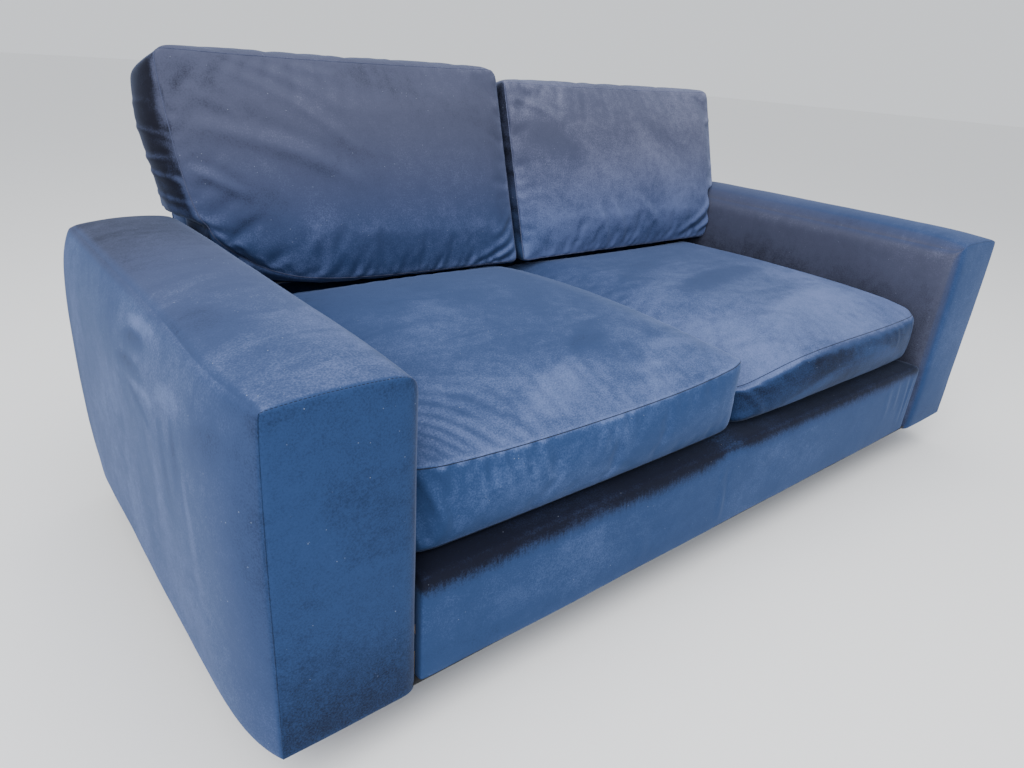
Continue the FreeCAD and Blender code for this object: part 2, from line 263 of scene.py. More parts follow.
def dome(rest: np.ndarray, axis: int, sign: int, height: float, powers: Share) -> np.ndarray:
    """How far each point of one side stands out when the side swells.

    Args:
        rest: The block's undivided points.
        axis: The axis that the side faces along.
        sign: 1 for the high side and -1 for the low one.
        height: The swell in the middle.
        powers: How flat the middle is along the side's two directions; 2 is a parabola.

    Returns:
        The moves, one row for each point.
    """
    share = across(rest)
    lift = np.where(on_side(rest, axis, sign), height * sign, 0.0)
    for other, power in zip(sorted({0, 1, 2} - {axis}), powers):
        lift = lift * (1 - np.abs(share[:, other]) ** power)
    moves = np.zeros_like(rest)
    moves[:, axis] = lift
    return moves


def round_edge(points: np.ndarray, box: Box, edge: dict[int, int], radius: float) -> None:
    """Round one edge of a block, in place.

    Args:
        points: The block's points.
        box: The block's low and high corners.
        edge: For the two axes across the edge, 1 for the high side and -1 for the low one.
        radius: The rounding's radius.
    """
    reach = []
    for axis, sign in edge.items():
        wall = box[1][axis] if sign > 0 else box[0][axis]
        reach.append(np.clip(radius - (wall - points[:, axis]) * sign, 0, radius))
    length = np.hypot(*reach)
    scale = np.where(np.minimum(*reach) > 0, radius / np.maximum(length, 1e-9), 1.0)
    scale = np.minimum(scale, 1.0)
    for (axis, sign), part in zip(edge.items(), reach):
        points[:, axis] -= sign * part * (1 - scale)


def smoothstep(low: float, high: float, values: np.ndarray) -> np.ndarray:
    """An eased ramp from 0 at low to 1 at high."""
    share = np.clip((values - low) / (high - low), 0, 1)
    return share * share * (3 - 2 * share)


def lumps(points: np.ndarray, size: float, seed: float) -> np.ndarray:
    """Soft unevenness from about -1 to 1, with lumps of the given size."""
    shift = Vector((seed * 13.7, seed * 7.3, seed * 3.1))
    return np.array([noise.noise(Vector(point) / size + shift) for point in points])


def refined(piece: bpy.types.Object, levels: int) -> None:
    """Subdivide a piece smoothly and keep the result as its mesh."""
    activate(piece)
    subdivision = piece.modifiers.new("refined", "SUBSURF")
    subdivision.levels = levels
    subdivision.render_levels = levels
    bpy.ops.object.modifier_apply(modifier=subdivision.name)


def shaded_smooth(piece: bpy.types.Object) -> None:
    """Shade every face of a piece smooth."""
    activate(piece)
    bpy.ops.object.shade_smooth()


def inflate(piece: bpy.types.Object, hold: np.ndarray, pressure: float, cap: float, slack: float) -> None:
    """Fill a sewn cover by cloth simulation while its seams are held.

    Args:
        piece: The closed cover.
        hold: How firmly each point is held, from 0 to 1.
        pressure: The filling's pressure.
        cap: The furthest that a point may move.
        slack: The share by which the cloth is cut longer than its seams.
    """
    before = coordinates(piece)
    group = piece.vertex_groups.new(name="seams")
    for weight in np.unique(hold.round(2)):
        group.add(np.flatnonzero(hold.round(2) == weight).tolist(), float(weight), "REPLACE")
    cloth = piece.modifiers.new("filling", "CLOTH")
    settings = cloth.settings
    for name, value in CLOTH.items():
        setattr(settings, name, value)
    settings.uniform_pressure_force = pressure
    settings.vertex_group_mass = group.name
    settings.shrink_min = -slack
    settings.effector_weights.gravity = 0
    scene = bpy.context.scene
    cloth.point_cache.frame_start = FIRST_FRAME
    cloth.point_cache.frame_end = LAST_FRAME
    for step in range(FIRST_FRAME, LAST_FRAME + 1):
        scene.frame_set(step)
    activate(piece)
    bpy.ops.object.modifier_apply(modifier=cloth.name)
    scene.frame_set(FIRST_FRAME)
    piece.vertex_groups.clear()
    moves = coordinates(piece) - before
    length = np.linalg.norm(moves, axis=1, keepdims=True)
    move_to(piece, before + moves * np.minimum(1, cap / np.maximum(length, 1e-9)))


class Ends(Enum):
    """How a fold dies away along its length."""

    BOTH = "fades at both ends"
    START = "strongest at its start"


@dataclass(frozen=True)
class Fold:
    """A crease or drag line across one side of a padded piece.

    The places are shares of the side's width and height, from 0 to 1.
    """

    start: Share
    end: Share
    height: float
    width: float
    bow: float = 0.0
    ends: Ends = Ends.BOTH

    def lift(self, flat: np.ndarray) -> np.ndarray:
        """How far the fold lifts each point of the side.

        Args:
            flat: The points' places on the side, in metres from its low corner.

        Returns:
            The lift along the normal, in metres.
        """
        size = flat.max(0)
        start = np.array(self.start) * size
        run = np.array(self.end) * size - start
        length = np.linalg.norm(run)
        along = run / length
        aside = np.array([-along[1], along[0]])
        share = (flat - start) @ along / length
        inside = np.clip(share, 0, 1)
        off = (flat - start) @ aside - self.bow * 4 * inside * (1 - inside)
        past = (share - inside) * length
        distance = np.hypot(off, past) / self.width
        valley = np.exp(-((off / self.width - 1.5) ** 2) - (past / self.width) ** 2)
        shape = np.exp(-distance * distance) - 0.55 * valley
        if self.ends is Ends.BOTH:
            strength = np.sin(np.pi * inside) ** 0.7
        else:
            strength = (1 - inside) ** 1.3
        return self.height * shape * strength


def flattened(rest: np.ndarray, axis: int) -> np.ndarray:
    """The points' places on the sides that face along an axis, from their low corner."""
    plane = [other for other in (0, 1, 2) if other != axis]
    return (rest - rest.min(0))[:, plane]


def fold_side(piece: bpy.types.Object, axis: int, sign: int, folds: Iterable[Fold]) -> None:
    """Work folds into one side of a block, along its normals.

    Args:
        piece: The block.
        axis: The axis that the side faces along.
        sign: 1 for the high side and -1 for the low one.
        folds: The folds to add.
    """
    rest = rest_of(piece)
    side = on_side(rest, axis, sign)
    flat = flattened(rest, axis)
    size = flat.max(0)
    lift = sum(fold.lift(flat) for fold in folds)
    edge = np.minimum(flat, size - flat).min(1)
    raise_by(piece, lift * side * smoothstep(0.0, FOLD_MARGIN, edge))


def painted_crease_shade(piece: bpy.types.Object, towards: Place, rounds: int) -> np.ndarray:
    """Painted crease shading: how much each point's normal turns towards a light direction, against the broad
    shape round it.

    Args:
        piece: The shaped piece.
        towards: The direction that the painted light comes from.
        rounds: How broadly the shape is averaged.

    Returns:
        A value for each point, used as painted light and shade: above 0 where a crease faces the light, below
        0 where it turns away.
    """
    normals = point_normals(piece)
    ends = np.empty(len(piece.data.edges) * 2, np.int64)
    piece.data.edges.foreach_get("vertices", ends)
    first, second = ends.reshape(-1, 2).T
    count = len(normals)
    links = np.bincount(ends, minlength=count).astype(float)
    direction = np.array(towards) / np.linalg.norm(towards)
    facing = normals @ direction
    broad = facing.copy()
    for _ in range(rounds):
        total = np.bincount(first, broad[second], count) + np.bincount(second, broad[first], count)
        broad = 0.4 * broad + 0.6 * total / links
    return facing - broad


def paint(piece: bpy.types.Object, name: str, values: np.ndarray | float) -> None:
    """Store one value for each point of a piece, or the same for all, for its finish to read."""
    if name in piece.data.attributes:
        piece.data.attributes.remove(piece.data.attributes[name])
    attribute = piece.data.attributes.new(name, "FLOAT", "POINT")
    spread = np.ones(len(piece.data.vertices)) * values
    attribute.data.foreach_set("value", spread.astype(np.float32))


@dataclass(frozen=True)
class Stroke:
    """A patch of lighter or darker tone on one side of a piece, in shares of its width and height; most are
    patches where the pile lies another way, and the rows on the left seat's front are painted highlights on
    its gathers.
    """

    centre: Share
    size: Share
    turn: float
    tone: float

    def value(self, flat: np.ndarray) -> np.ndarray:
        """The patch's tone at each point of the side.

        Args:
            flat: The points' places on the side, in metres from its low corner.

        Returns:
            The change of tone.
        """
        away = flat - np.array(self.centre) * flat.max(0)
        angle = math.radians(self.turn)
        along = (away[:, 0] * math.cos(angle) + away[:, 1] * math.sin(angle)) / self.size[0]
        aside = (away[:, 1] * math.cos(angle) - away[:, 0] * math.sin(angle)) / self.size[1]
        aside = aside + 0.35 * along * along
        crisp = np.where(aside > 0, aside * 2.6, aside)
        return self.tone * np.exp(-((along * along + crisp * crisp) ** 1.4))


def pile_and_highlight_patches(rest: np.ndarray, axis: int, sign: int, strokes: Iterable[Stroke]) -> np.ndarray:
    """Sum the tone patches of one side: pile patches, and painted highlights where the patches stand for
    them.

    Args:
        rest: The block's undivided points.
        axis: The axis that the side faces along.
        sign: 1 for the high side and -1 for the low one.
        strokes: The patches.

    Returns:
        The change of tone at each point.
    """
    flat = flattened(rest, axis)
    total = np.zeros(len(rest))
    for stroke in strokes:
        total += stroke.value(flat)
    return total * on_side(rest, axis, sign)


def puckers(start: Share, end: Share, count: int, run: Share, height: float, seed: int) -> list[Fold]:
    """Small gathers that leave a seam side by side.

    Args:
        start: Where the first gather leaves the seam, in shares of the side.
        end: Where the last one leaves it.
        count: How many there are.
        run: How far each runs from the seam, in shares of the side.
        height: How high they stand.
        seed: The seed of their unevenness.

    Returns:
        The gathers.
    """
    chance = np.random.default_rng(seed)
    made = []
    for index in range(count):
        share = (index + chance.uniform(0.1, 0.9)) / count
        u = start[0] + (end[0] - start[0]) * share
        v = start[1] + (end[1] - start[1]) * share
        reach = chance.uniform(0.5, 1.1)
        tip = (u + run[0] * reach + chance.uniform(-0.01, 0.01), v + run[1] * reach)
        lift = height * chance.uniform(0.5, 1.1)
        made.append(Fold((u, v), tip, lift, chance.uniform(0.005, 0.009), ends=Ends.START))
    return made


def edge_path(piece: bpy.types.Object, axis: int, fixed: dict[int, int], count: int) -> np.ndarray:
    """Read the shaped course of one edge of a block.

    Args:
        piece: The block.
        axis: The axis that the edge runs along.
        fixed: For the two other axes, 1 for the high side and -1 for the low one.
        count: How many of the block's first points to search.

    Returns:
        The edge's points in order.
    """
    rest = rest_of(piece)[:count]
    share = across(rest)
    mask = np.ones(count, bool)
    for other, sign in fixed.items():
        mask &= share[:, other] * sign > ON_FACE
    picked = np.flatnonzero(mask)
    order = picked[np.argsort(rest[picked, axis])]
    return coordinates(piece)[order]


def seam(name: str, path: np.ndarray, radius: float) -> bpy.types.Object:
    """Model a sewn seam as a slim rounded welt along a course.

    Args:
        name: The piece's name.
        path: The course, as rows.
        radius: Half the welt's width.

    Returns:
        The welt as a mesh.
    """
    deselect()
    bpy.ops.curve.primitive_nurbs_path_add(radius=1, location=(0, 0, 0))
    piece = bpy.context.active_object
    piece.name = name
    curve = piece.data
    curve.splines.clear()
    curve.bevel_depth = radius
    curve.bevel_resolution = 1
    curve.use_fill_caps = True
    line = curve.splines.new("POLY")
    line.points.add(len(path) - 1)
    line.points.foreach_set("co", np.column_stack([path, np.ones(len(path))]).ravel())
    activate(piece)
    bpy.ops.object.convert(target="MESH")
    piece.data.name = name
    bpy.ops.object.shade_smooth()
    return piece


def evened(path: np.ndarray, pitch: float) -> np.ndarray:
    """Space points evenly along a course."""
    steps = np.linalg.norm(np.diff(path, axis=0), axis=1)
    run = np.concatenate([[0], np.cumsum(steps)])
    places = np.arange(pitch / 2, run[-1], pitch)
    return np.column_stack([np.interp(places, run, path[:, axis]) for axis in range(3)])


def repeated(name: str, pattern: bpy.types.Object, places: Iterable[Matrix]) -> bpy.types.Object:
    """Copy one modelled thing to many places, as one piece, and remove the pattern.

    Args:
        name: The piece's name.
        pattern: The thing that was modelled once, at the origin.
        places: Where each copy goes.

    Returns:
        The row of copies.
    """
    mesh = bmesh.new()
    for place in places:
        first = len(mesh.verts)
        mesh.from_mesh(pattern.data)
        mesh.verts.ensure_lookup_table()
        bmesh.ops.transform(mesh, matrix=place, verts=mesh.verts[first:])
    data = bpy.data.meshes.new(name)
    mesh.to_mesh(data)
    mesh.free()
    piece = bpy.data.objects.new(name, data)
    bpy.context.collection.objects.link(piece)
    bpy.data.meshes.remove(pattern.data)
    shaded_smooth(piece)
    return piece


def eased(piece: bpy.types.Object, width: float, segments: int) -> None:
    """Round a small piece's edges and shade it."""
    activate(piece)
    edge = piece.modifiers.new("eased", "BEVEL")
    edge.width = width
    edge.segments = segments
    edge.limit_method = "ANGLE"
    bpy.ops.object.modifier_apply(modifier=edge.name)
    bpy.ops.object.shade_smooth_by_angle(angle=EASED_ANGLE)
    deselect()


def stitches(name: str, path: np.ndarray, pitch: float, length: float, radius: float) -> bpy.types.Object:
    """Model a row of short stitches along a course.

    Args:
        name: The piece's name.
        path: The course, as rows.
        pitch: The distance from one stitch to the next.
        length: A stitch's length.
        radius: Half a stitch's thickness.

    Returns:
        The row of stitches.
    """
    deselect()
    bpy.ops.mesh.primitive_cylinder_add(
        vertices=6, radius=radius, depth=length, location=(0, 0, 0), rotation=(0, math.pi / 2, 0)
    )
    stitch = added("stitch")
    eased(stitch, radius * 0.6, 1)
    centres = evened(path, pitch)
    places = []
    for index, centre in enumerate(centres):
        ahead = centres[min(index + 1, len(centres) - 1)] - centres[max(index - 1, 0)]
        turn = Vector(ahead).to_track_quat("X", "Z").to_matrix().to_4x4()
        places.append(Matrix.Translation(Vector(centre)) @ turn)
    return repeated(name, stitch, places)


# ---------------------------------------------------------------- finishes


class Nodes:
    """A small helper that adds and joins shader nodes in one tree."""

    def __init__(self, tree: bpy.types.NodeTree) -> None:
        """Work in the given tree."""
        self.tree = tree

    def add(self, kind: str, **values: object) -> bpy.types.Node:
        """Add a node of one kind and set its properties."""
        node = self.tree.nodes.new("ShaderNode" + kind)
        for name, value in values.items():
            setattr(node, name, value)
        return node

    def fed(self, kind: str, inputs: dict, **values: object) -> bpy.types.Node:
        """Add a node of one kind, set its properties and feed its inputs."""
        node = self.add(kind, **values)
        for key, value in inputs.items():
            self.feed(node, key, value)
        return node

    def join(self, source: bpy.types.NodeSocket, target: bpy.types.NodeSocket) -> None:
        """Lead one socket into another."""
        self.tree.links.new(source, target)

    def feed(self, node: bpy.types.Node, key: str | int, value: object) -> None:
        """Set a node's input, or join another socket to it."""
        if isinstance(value, bpy.types.NodeSocket):
            self.join(value, node.inputs[key])
        else:
            node.inputs[key].default_value = value

    def maths(self, operation: str, first: object, second: object = 0.0, clamp: bool = False) -> Socket:
        """Combine two values."""
        return self.fed("Math", {0: first, 1: second}, operation=operation, use_clamp=clamp).outputs[0]

    def spread(self, value: object, low: float, high: float, to_low: float, to_high: float) -> Socket:
        """Carry a value from one range to another, eased and clamped."""
        inputs = dict(enumerate((value, low, high, to_low, to_high)))
        return self.fed("MapRange", inputs, interpolation_type="SMOOTHSTEP").outputs[0]

    def noise(
        self, vector: object, scale: object, detail: float, rough: float, twist: float = 0.0
    ) -> Socket:
        """Add a noise pattern."""
        inputs = {"Vector": vector, "Scale": scale, "Detail": detail, "Roughness": rough, "Distortion": twist}
        return self.fed("TexNoise", inputs).outputs["Fac"]

    def bands(self, direction: str, inputs: dict) -> Socket:
        """Add a pattern of soft bands across one direction."""
        kind = {"wave_type": "BANDS", "bands_direction": direction, "wave_profile": "SIN"}
        return self.fed("TexWave", inputs, **kind).outputs["Fac"]

    def stretched(self, vector: object, scale: Place, turn: Place = (0, 0, 0)) -> Socket:
        """Stretch and turn a pattern's coordinates."""
        return self.fed("Mapping", {"Vector": vector, "Scale": scale, "Rotation": turn}).outputs[0]

    def mix(self, share: object, first: object, second: object) -> Socket:
        """Mix two colours."""
        return self.fed("Mix", {0: share, 6: opaque(first), 7: opaque(second)}, data_type="RGBA").outputs[2]


def opaque(colour: object) -> object:
    """Give a plain colour its alpha, and leave a socket as it is."""
    return (*colour, 1.0) if isinstance(colour, tuple) and len(colour) == 3 else colour


@dataclass(frozen=True)
class Port:
    """A named input or output of an effect."""

    name: str
    kind: str
    value: object = None


LOOK = (Port("Color", "Color"), Port("Roughness", "Float"), Port("Height", "Float"))


def effect(name: str, *own: Port) -> tuple[Nodes, dict, dict]:
    """Start a shared effect that gives a place its colour, roughness and height.

    Args:
        name: The effect's name.
        own: Its inputs besides the place.

    Returns:
        The node helper, the inputs' sockets and the outputs' sockets, by name.
    """
    inputs = (Port("Vector", "Vector"), *own)
    tree = bpy.data.node_groups.new(name, "ShaderNodeTree")
    for port in inputs:
        socket = tree.interface.new_socket(port.name, in_out="INPUT", socket_type="NodeSocket" + port.kind)
        if port.value is not None:
            socket.default_value = port.value
    for port in LOOK:
        tree.interface.new_socket(port.name, in_out="OUTPUT", socket_type="NodeSocket" + port.kind)
    entry = tree.nodes.new("NodeGroupInput")
    end = tree.nodes.new("NodeGroupOutput")
    sources = {port.name: entry.outputs[port.name] for port in inputs}
    targets = {port.name: end.inputs[port.name] for port in LOOK}
    return Nodes(tree), sources, targets


def pile_effect() -> bpy.types.NodeTree:
    """Velvet pile: a tone ramp from painted shade to painted light, greyed by a painted sheen and ragged at
    the painted shadow's edge, with swept smudges, lint and grain.
    """
    nodes, into, out = effect(
        "velvet_pile",
        Port("Nap_And_Shade", "Float", 0.5),
        Port("Painted_Sheen", "Float", 0.0),
        Port("Shadow_Fringe", "Float", 0.0),
        Port("Deep", "Color"),
        Port("Middle", "Color"),
        Port("Bright", "Color"),
        Port("Mottle", "Float", 1.0),
        Port("Lint", "Float", 0.3),
    )
    vector = into["Vector"]
    patches = nodes.noise(vector, 3.4, 3.0, 0.5, 0.5)
    swept = nodes.noise(nodes.stretched(vector, (2.2, 6.0, 4.0), (0.5, 0.4, 0.8)), 2.6, 4.0, 0.55, 0.6)
    mottling = nodes.noise(vector, 48.0, 3.0, 0.6)
    grain = nodes.noise(vector, 380.0, 3.0, 0.75)
    fringe = nodes.noise(nodes.stretched(vector, (1.0, 1.0, 0.22)), 230.0, 4.0, 0.6)
    sway = nodes.maths("MULTIPLY", nodes.spread(patches, 0.34, 0.66, -0.055, 0.055), into["Mottle"])
    smudge = nodes.maths("MULTIPLY", nodes.spread(swept, 0.49, 0.63, 0.0, -0.055), into["Mottle"])
    specks = nodes.spread(mottling, 0.3, 0.7, -0.030, 0.030)
    fibres = nodes.spread(grain, 0.28, 0.72, -0.10, 0.10)
    # Ragged streaks along the edge of the painted shadow band.
    ragged_shadow_edge = nodes.maths("MULTIPLY", nodes.spread(fringe, 0.3, 0.7, -0.17, 0.17), into["Shadow_Fringe"])
    tone = into["Nap_And_Shade"]
    for part in (sway, smudge, specks, fibres, ragged_shadow_edge):
        tone = nodes.maths("ADD", tone, part)
    # Painted light and shade: the tone picks the deep shaded colour, the middle one or the bright lit one.
    low_half = nodes.mix(nodes.spread(tone, 0.0, 0.5, 0.0, 1.0), into["Deep"], into["Middle"])
    colour = nodes.mix(nodes.spread(tone, 0.5, 1.0, 0.0, 1.0), low_half, into["Bright"])
    # Painted sheen: greyer, shifted in hue and a little darker where the painted sheen is high.
    greying = {"Hue": (0.5, 0.524), "Saturation": (1.0, 0.42), "Value": (1.0, 0.82)}
    greyed = nodes.fed("HueSaturation", {"Color": colour})
    for key, ends in greying.items():
        nodes.feed(greyed, key, nodes.spread(into["Painted_Sheen"], 0.0, 1.0, *ends))
    fluff = nodes.fed("TexVoronoi", {"Vector": vector, "Scale": 85.0, "Randomness": 1.0}, feature="F1")
    dot = nodes.spread(fluff.outputs["Distance"], 0.04, 0.09, 1.0, 0.0)
    chosen = nodes.spread(nodes.noise(vector, 34.0, 1.0, 0.5), 0.55, 0.62, 0.0, 1.0)
    lint = nodes.maths("MULTIPLY", nodes.maths("MULTIPLY", dot, chosen), into["Lint"])
    nodes.join(nodes.mix(lint, greyed.outputs[0], (0.40, 0.46, 0.58)), out["Color"])
    nodes.join(nodes.spread(tone, 0.0, 1.0, 0.88, 0.74), out["Roughness"])
    rumples = nodes.noise(vector, 17.0, 2.0, 0.5, 0.3)
    height = nodes.maths("ADD", nodes.maths("MULTIPLY", rumples, 0.35), nodes.maths("MULTIPLY", grain, 0.10))
    nodes.join(nodes.maths("ADD", height, nodes.maths("MULTIPLY", lint, 0.4)), out["Height"])
    return nodes.tree


def weave_effect() -> bpy.types.NodeTree:
    """Plain woven or pressed cloth: crossing threads with uneven thickness."""
    nodes, into, out = effect(
        "cloth_weave",
        Port("Threads", "Float", 600.0),
        Port("Light", "Color"),
        Port("Dark", "Color"),
    )
    heights = []
    for direction in ("X", "Y"):
        inputs = {"Vector": into["Vector"], "Scale": into["Threads"], "Distortion": 0.6}
        heights.append(nodes.bands(direction, inputs))
    cross = nodes.maths("MAXIMUM", *heights)
    slubs = nodes.noise(into["Vector"], 45.0, 4.0, 0.6)
    share = nodes.maths("MULTIPLY", cross, nodes.spread(slubs, 0.2, 0.8, 0.5, 1.0))
    nodes.join(nodes.mix(share, into["Dark"], into["Light"]), out["Color"])
    nodes.join(nodes.spread(slubs, 0.2, 0.8, 0.8, 0.95), out["Roughness"])
    nodes.join(share, out["Height"])
    return nodes.tree


def grain_effect() -> bpy.types.NodeTree:
    """Wood grain: long growth lines with fibres, pores and darker streaks."""
    nodes, into, out = effect(
        "wood_grain",
        Port("Rings", "Float", 18.0),
        Port("Light", "Color"),
        Port("Dark", "Color"),
        Port("Wear", "Float", 0.2),
    )
    wander = nodes.noise(into["Vector"], 3.0, 3.0, 0.5)
    inputs = {"Vector": into["Vector"], "Scale": into["Rings"], "Distortion": 5.5, "Detail": 3.0}
    bands = nodes.bands("X", {**inputs, "Detail Scale": 1.4})
    fibres = nodes.noise(nodes.stretched(into["Vector"], (1.0, 1.0, 0.06)), 420.0, 3.0, 0.6)
    lines = nodes.maths("MULTIPLY", bands, 0.6)
    share = nodes.maths("ADD", lines, nodes.maths("MULTIPLY", fibres, 0.35))
    share = nodes.maths("ADD", share, nodes.spread(wander, 0.3, 0.7, -0.15, 0.15), True)
    colour = nodes.mix(share, into["Light"], into["Dark"])
    worn = nodes.spread(nodes.noise(into["Vector"], 26.0, 4.0, 0.6), 0.55, 0.75, 0.0, 1.0)
    nodes.join(nodes.mix(nodes.maths("MULTIPLY", worn, into["Wear"]), colour, into["Light"]), out["Color"])
    nodes.join(nodes.spread(fibres, 0.2, 0.8, 0.38, 0.6), out["Roughness"])
    nodes.join(nodes.maths("SUBTRACT", 1.0, share), out["Height"])
    return nodes.tree


def speckle_effect() -> bpy.types.NodeTree:
    """Uneven tone and roughness for foam, fibre and metal."""
    nodes, into, out = effect(
        "speckle",
        Port("Scale", "Float", 200.0),
        Port("Light", "Color"),
        Port("Dark", "Color"),
        Port("Rough Low", "Float", 0.3),
        Port("Rough High", "Float", 0.5),
    )
    fine = nodes.noise(into["Vector"], into["Scale"], 4.0, 0.6)
    broad = nodes.noise(into["Vector"], 9.0, 3.0, 0.5)
    share = nodes.maths("MULTIPLY", nodes.maths("ADD", fine, broad), 0.5)
    nodes.join(nodes.mix(nodes.spread(share, 0.3, 0.7, 0.0, 1.0), into["Dark"], into["Light"]), out["Color"])
    inputs = dict(enumerate((broad, 0.3, 0.7, into["Rough Low"], into["Rough High"])))
    nodes.join(nodes.fed("MapRange", inputs).outputs[0], out["Roughness"])
    nodes.join(fine, out["Height"])
    return nodes.tree


@dataclass(frozen=True)
class Shader:
    """The constant settings of a finish's shader."""

    bump: float = 0.3
    bump_depth: float = 0.001
    metallic: float = 0.0
    specular: float = 0.5
    sheen: float = 0.0
    sheen_rough: float = 0.5
    sheen_tint: Colour = (1.0, 1.0, 1.0)
    coat: float = 0.0


class Workshop:
    """Makes each material once, from the shared effects."""

    def __init__(self) -> None:
        """Build the shared effects."""
        self.effects = {
            "pile": pile_effect(),
            "weave": weave_effect(),
            "grain": grain_effect(),
            "speckle": speckle_effect(),
        }
        self.made: dict[str, bpy.types.Material] = {}

    def material(
        self, name: str, kind: str, values: dict, shader: Shader, painted: bool = False
    ) -> bpy.types.Material:
        """Make a material, or return the one already made under its name.

        Args:
            name: The material's name.
            kind: The shared effect it uses.
            values: The effect's own values.
            shader: The shader's constant settings.
            painted: Whether the piece's painted tone, painted sheen and painted shadow fringe attributes are
                read.

        Returns:
            The material.
        """
        if name in self.made:
            return self.made[name]
        made = bpy.data.materials.new(name)
        made.use_nodes = True
        made.node_tree.nodes.clear()
        nodes = Nodes(made.node_tree)
        output = nodes.add("OutputMaterial")
        surface = nodes.add("BsdfPrincipled")
        nodes.join(surface.outputs[0], output.inputs[0])
        look = nodes.add("Group")
        look.node_tree = self.effects[kind]
        place = nodes.add("TexCoord")
        nodes.join(place.outputs["Object"], look.inputs["Vector"])
        for key, value in values.items():
            nodes.feed(look, key, opaque(value))
        # Read the painted light and shade, the painted sheen and the painted shadow fringe from the piece.
        if painted:
            for key, name_read in (("Nap_And_Shade", NAP_AND_SHADE), ("Painted_Sheen", PAINTED_SHEEN), ("Shadow_Fringe", PAINTED_SHADOW_FRINGE)):
                reading = nodes.add("Attribute", attribute_name=name_read)
                nodes.join(reading.outputs["Fac"], look.inputs[key])
        raised = {"Strength": shader.bump, "Distance": shader.bump_depth, "Height": look.outputs["Height"]}
        settings = {
            "Base Color": look.outputs["Color"],
            "Roughness": look.outputs["Roughness"],
            "Normal": nodes.fed("Bump", raised).outputs[0],
            "Metallic": shader.metallic,
            "Specular IOR Level": shader.specular,
            "Sheen Weight": shader.sheen,
            "Sheen Roughness": shader.sheen_rough,
            "Sheen Tint": opaque(shader.sheen_tint),
            "Coat Weight": shader.coat,
        }
        for key, value in settings.items():
            nodes.feed(surface, key, value)
        self.made[name] = made
        return made


@dataclass(frozen=True)
class VelvetFinish:
    """Navy velvet with a short pile, its colour ramped from a deep shaded tone to a bright lit one by the
    painted light and shade.
    """

    name: str = "navy_velvet"
    # Deep is the painted-shade colour and bright the painted-lit colour.
    deep: Colour = (0.004, 0.006, 0.016)
    middle: Colour = (0.019, 0.045, 0.125)
    bright: Colour = (0.100, 0.150, 0.330)
    mottle: float = 1.0
    lint: float = 0.35
    painted: bool = True

    def material(self, shop: Workshop) -> bpy.types.Material:
        """The velvet as a material."""
        values = {
            "Deep": self.deep,
            "Middle": self.middle,
            "Bright": self.bright,
            "Mottle": self.mottle,
            "Lint": self.lint,
        }
        shader = Shader(
            bump=0.5,
            bump_depth=0.003,
            specular=0.10,
            sheen=0.20,
            sheen_rough=0.36,
            sheen_tint=(0.50, 0.63, 1.0),
        )
        return shop.material(self.name, "pile", values, shader, self.painted)


@dataclass(frozen=True)
class ClothFinish:
    """A woven or pressed cloth."""

    name: str
    light: Colour
    dark: Colour
    threads: float = 600.0
    bump: float = 0.3

    def material(self, shop: Workshop) -> bpy.types.Material:
        """The cloth as a material."""
        values = {"Threads": self.threads, "Light": self.light, "Dark": self.dark}
        shader = Shader(bump=self.bump, bump_depth=0.0006, specular=0.2, sheen=0.1)
        return shop.material(self.name, "weave", values, shader)


@dataclass(frozen=True)
class WoodFinish:
    """Solid wood or board."""

    name: str
    light: Colour
    dark: Colour
    rings: float = 18.0
    wear: float = 0.15
    coat: float = 0.0

    def material(self, shop: Workshop) -> bpy.types.Material:
        """The wood as a material."""
        values = {"Rings": self.rings, "Light": self.light, "Dark": self.dark, "Wear": self.wear}
        shader = Shader(bump=0.25, bump_depth=0.0005, specular=0.45, coat=self.coat)
        return shop.material(self.name, "grain", values, shader)


@dataclass(frozen=True)
class SpeckledFinish:
    """Foam, fibre, plated metal or enamel."""

    name: str
    light: Colour
    dark: Colour
    scale: float = 200.0
    rough: Share = (0.3, 0.5)
    metallic: float = 0.0
    bump: float = 0.2

    def material(self, shop: Workshop) -> bpy.types.Material:
        """The finish as a material."""
        values = {
            "Scale": self.scale,
            "Light": self.light,
            "Dark": self.dark,
            "Rough Low": self.rough[0],
            "Rough High": self.rough[1],
        }
        shader = Shader(bump=self.bump, bump_depth=0.0008, metallic=self.metallic)
        return shop.material(self.name, "speckle", values, shader)


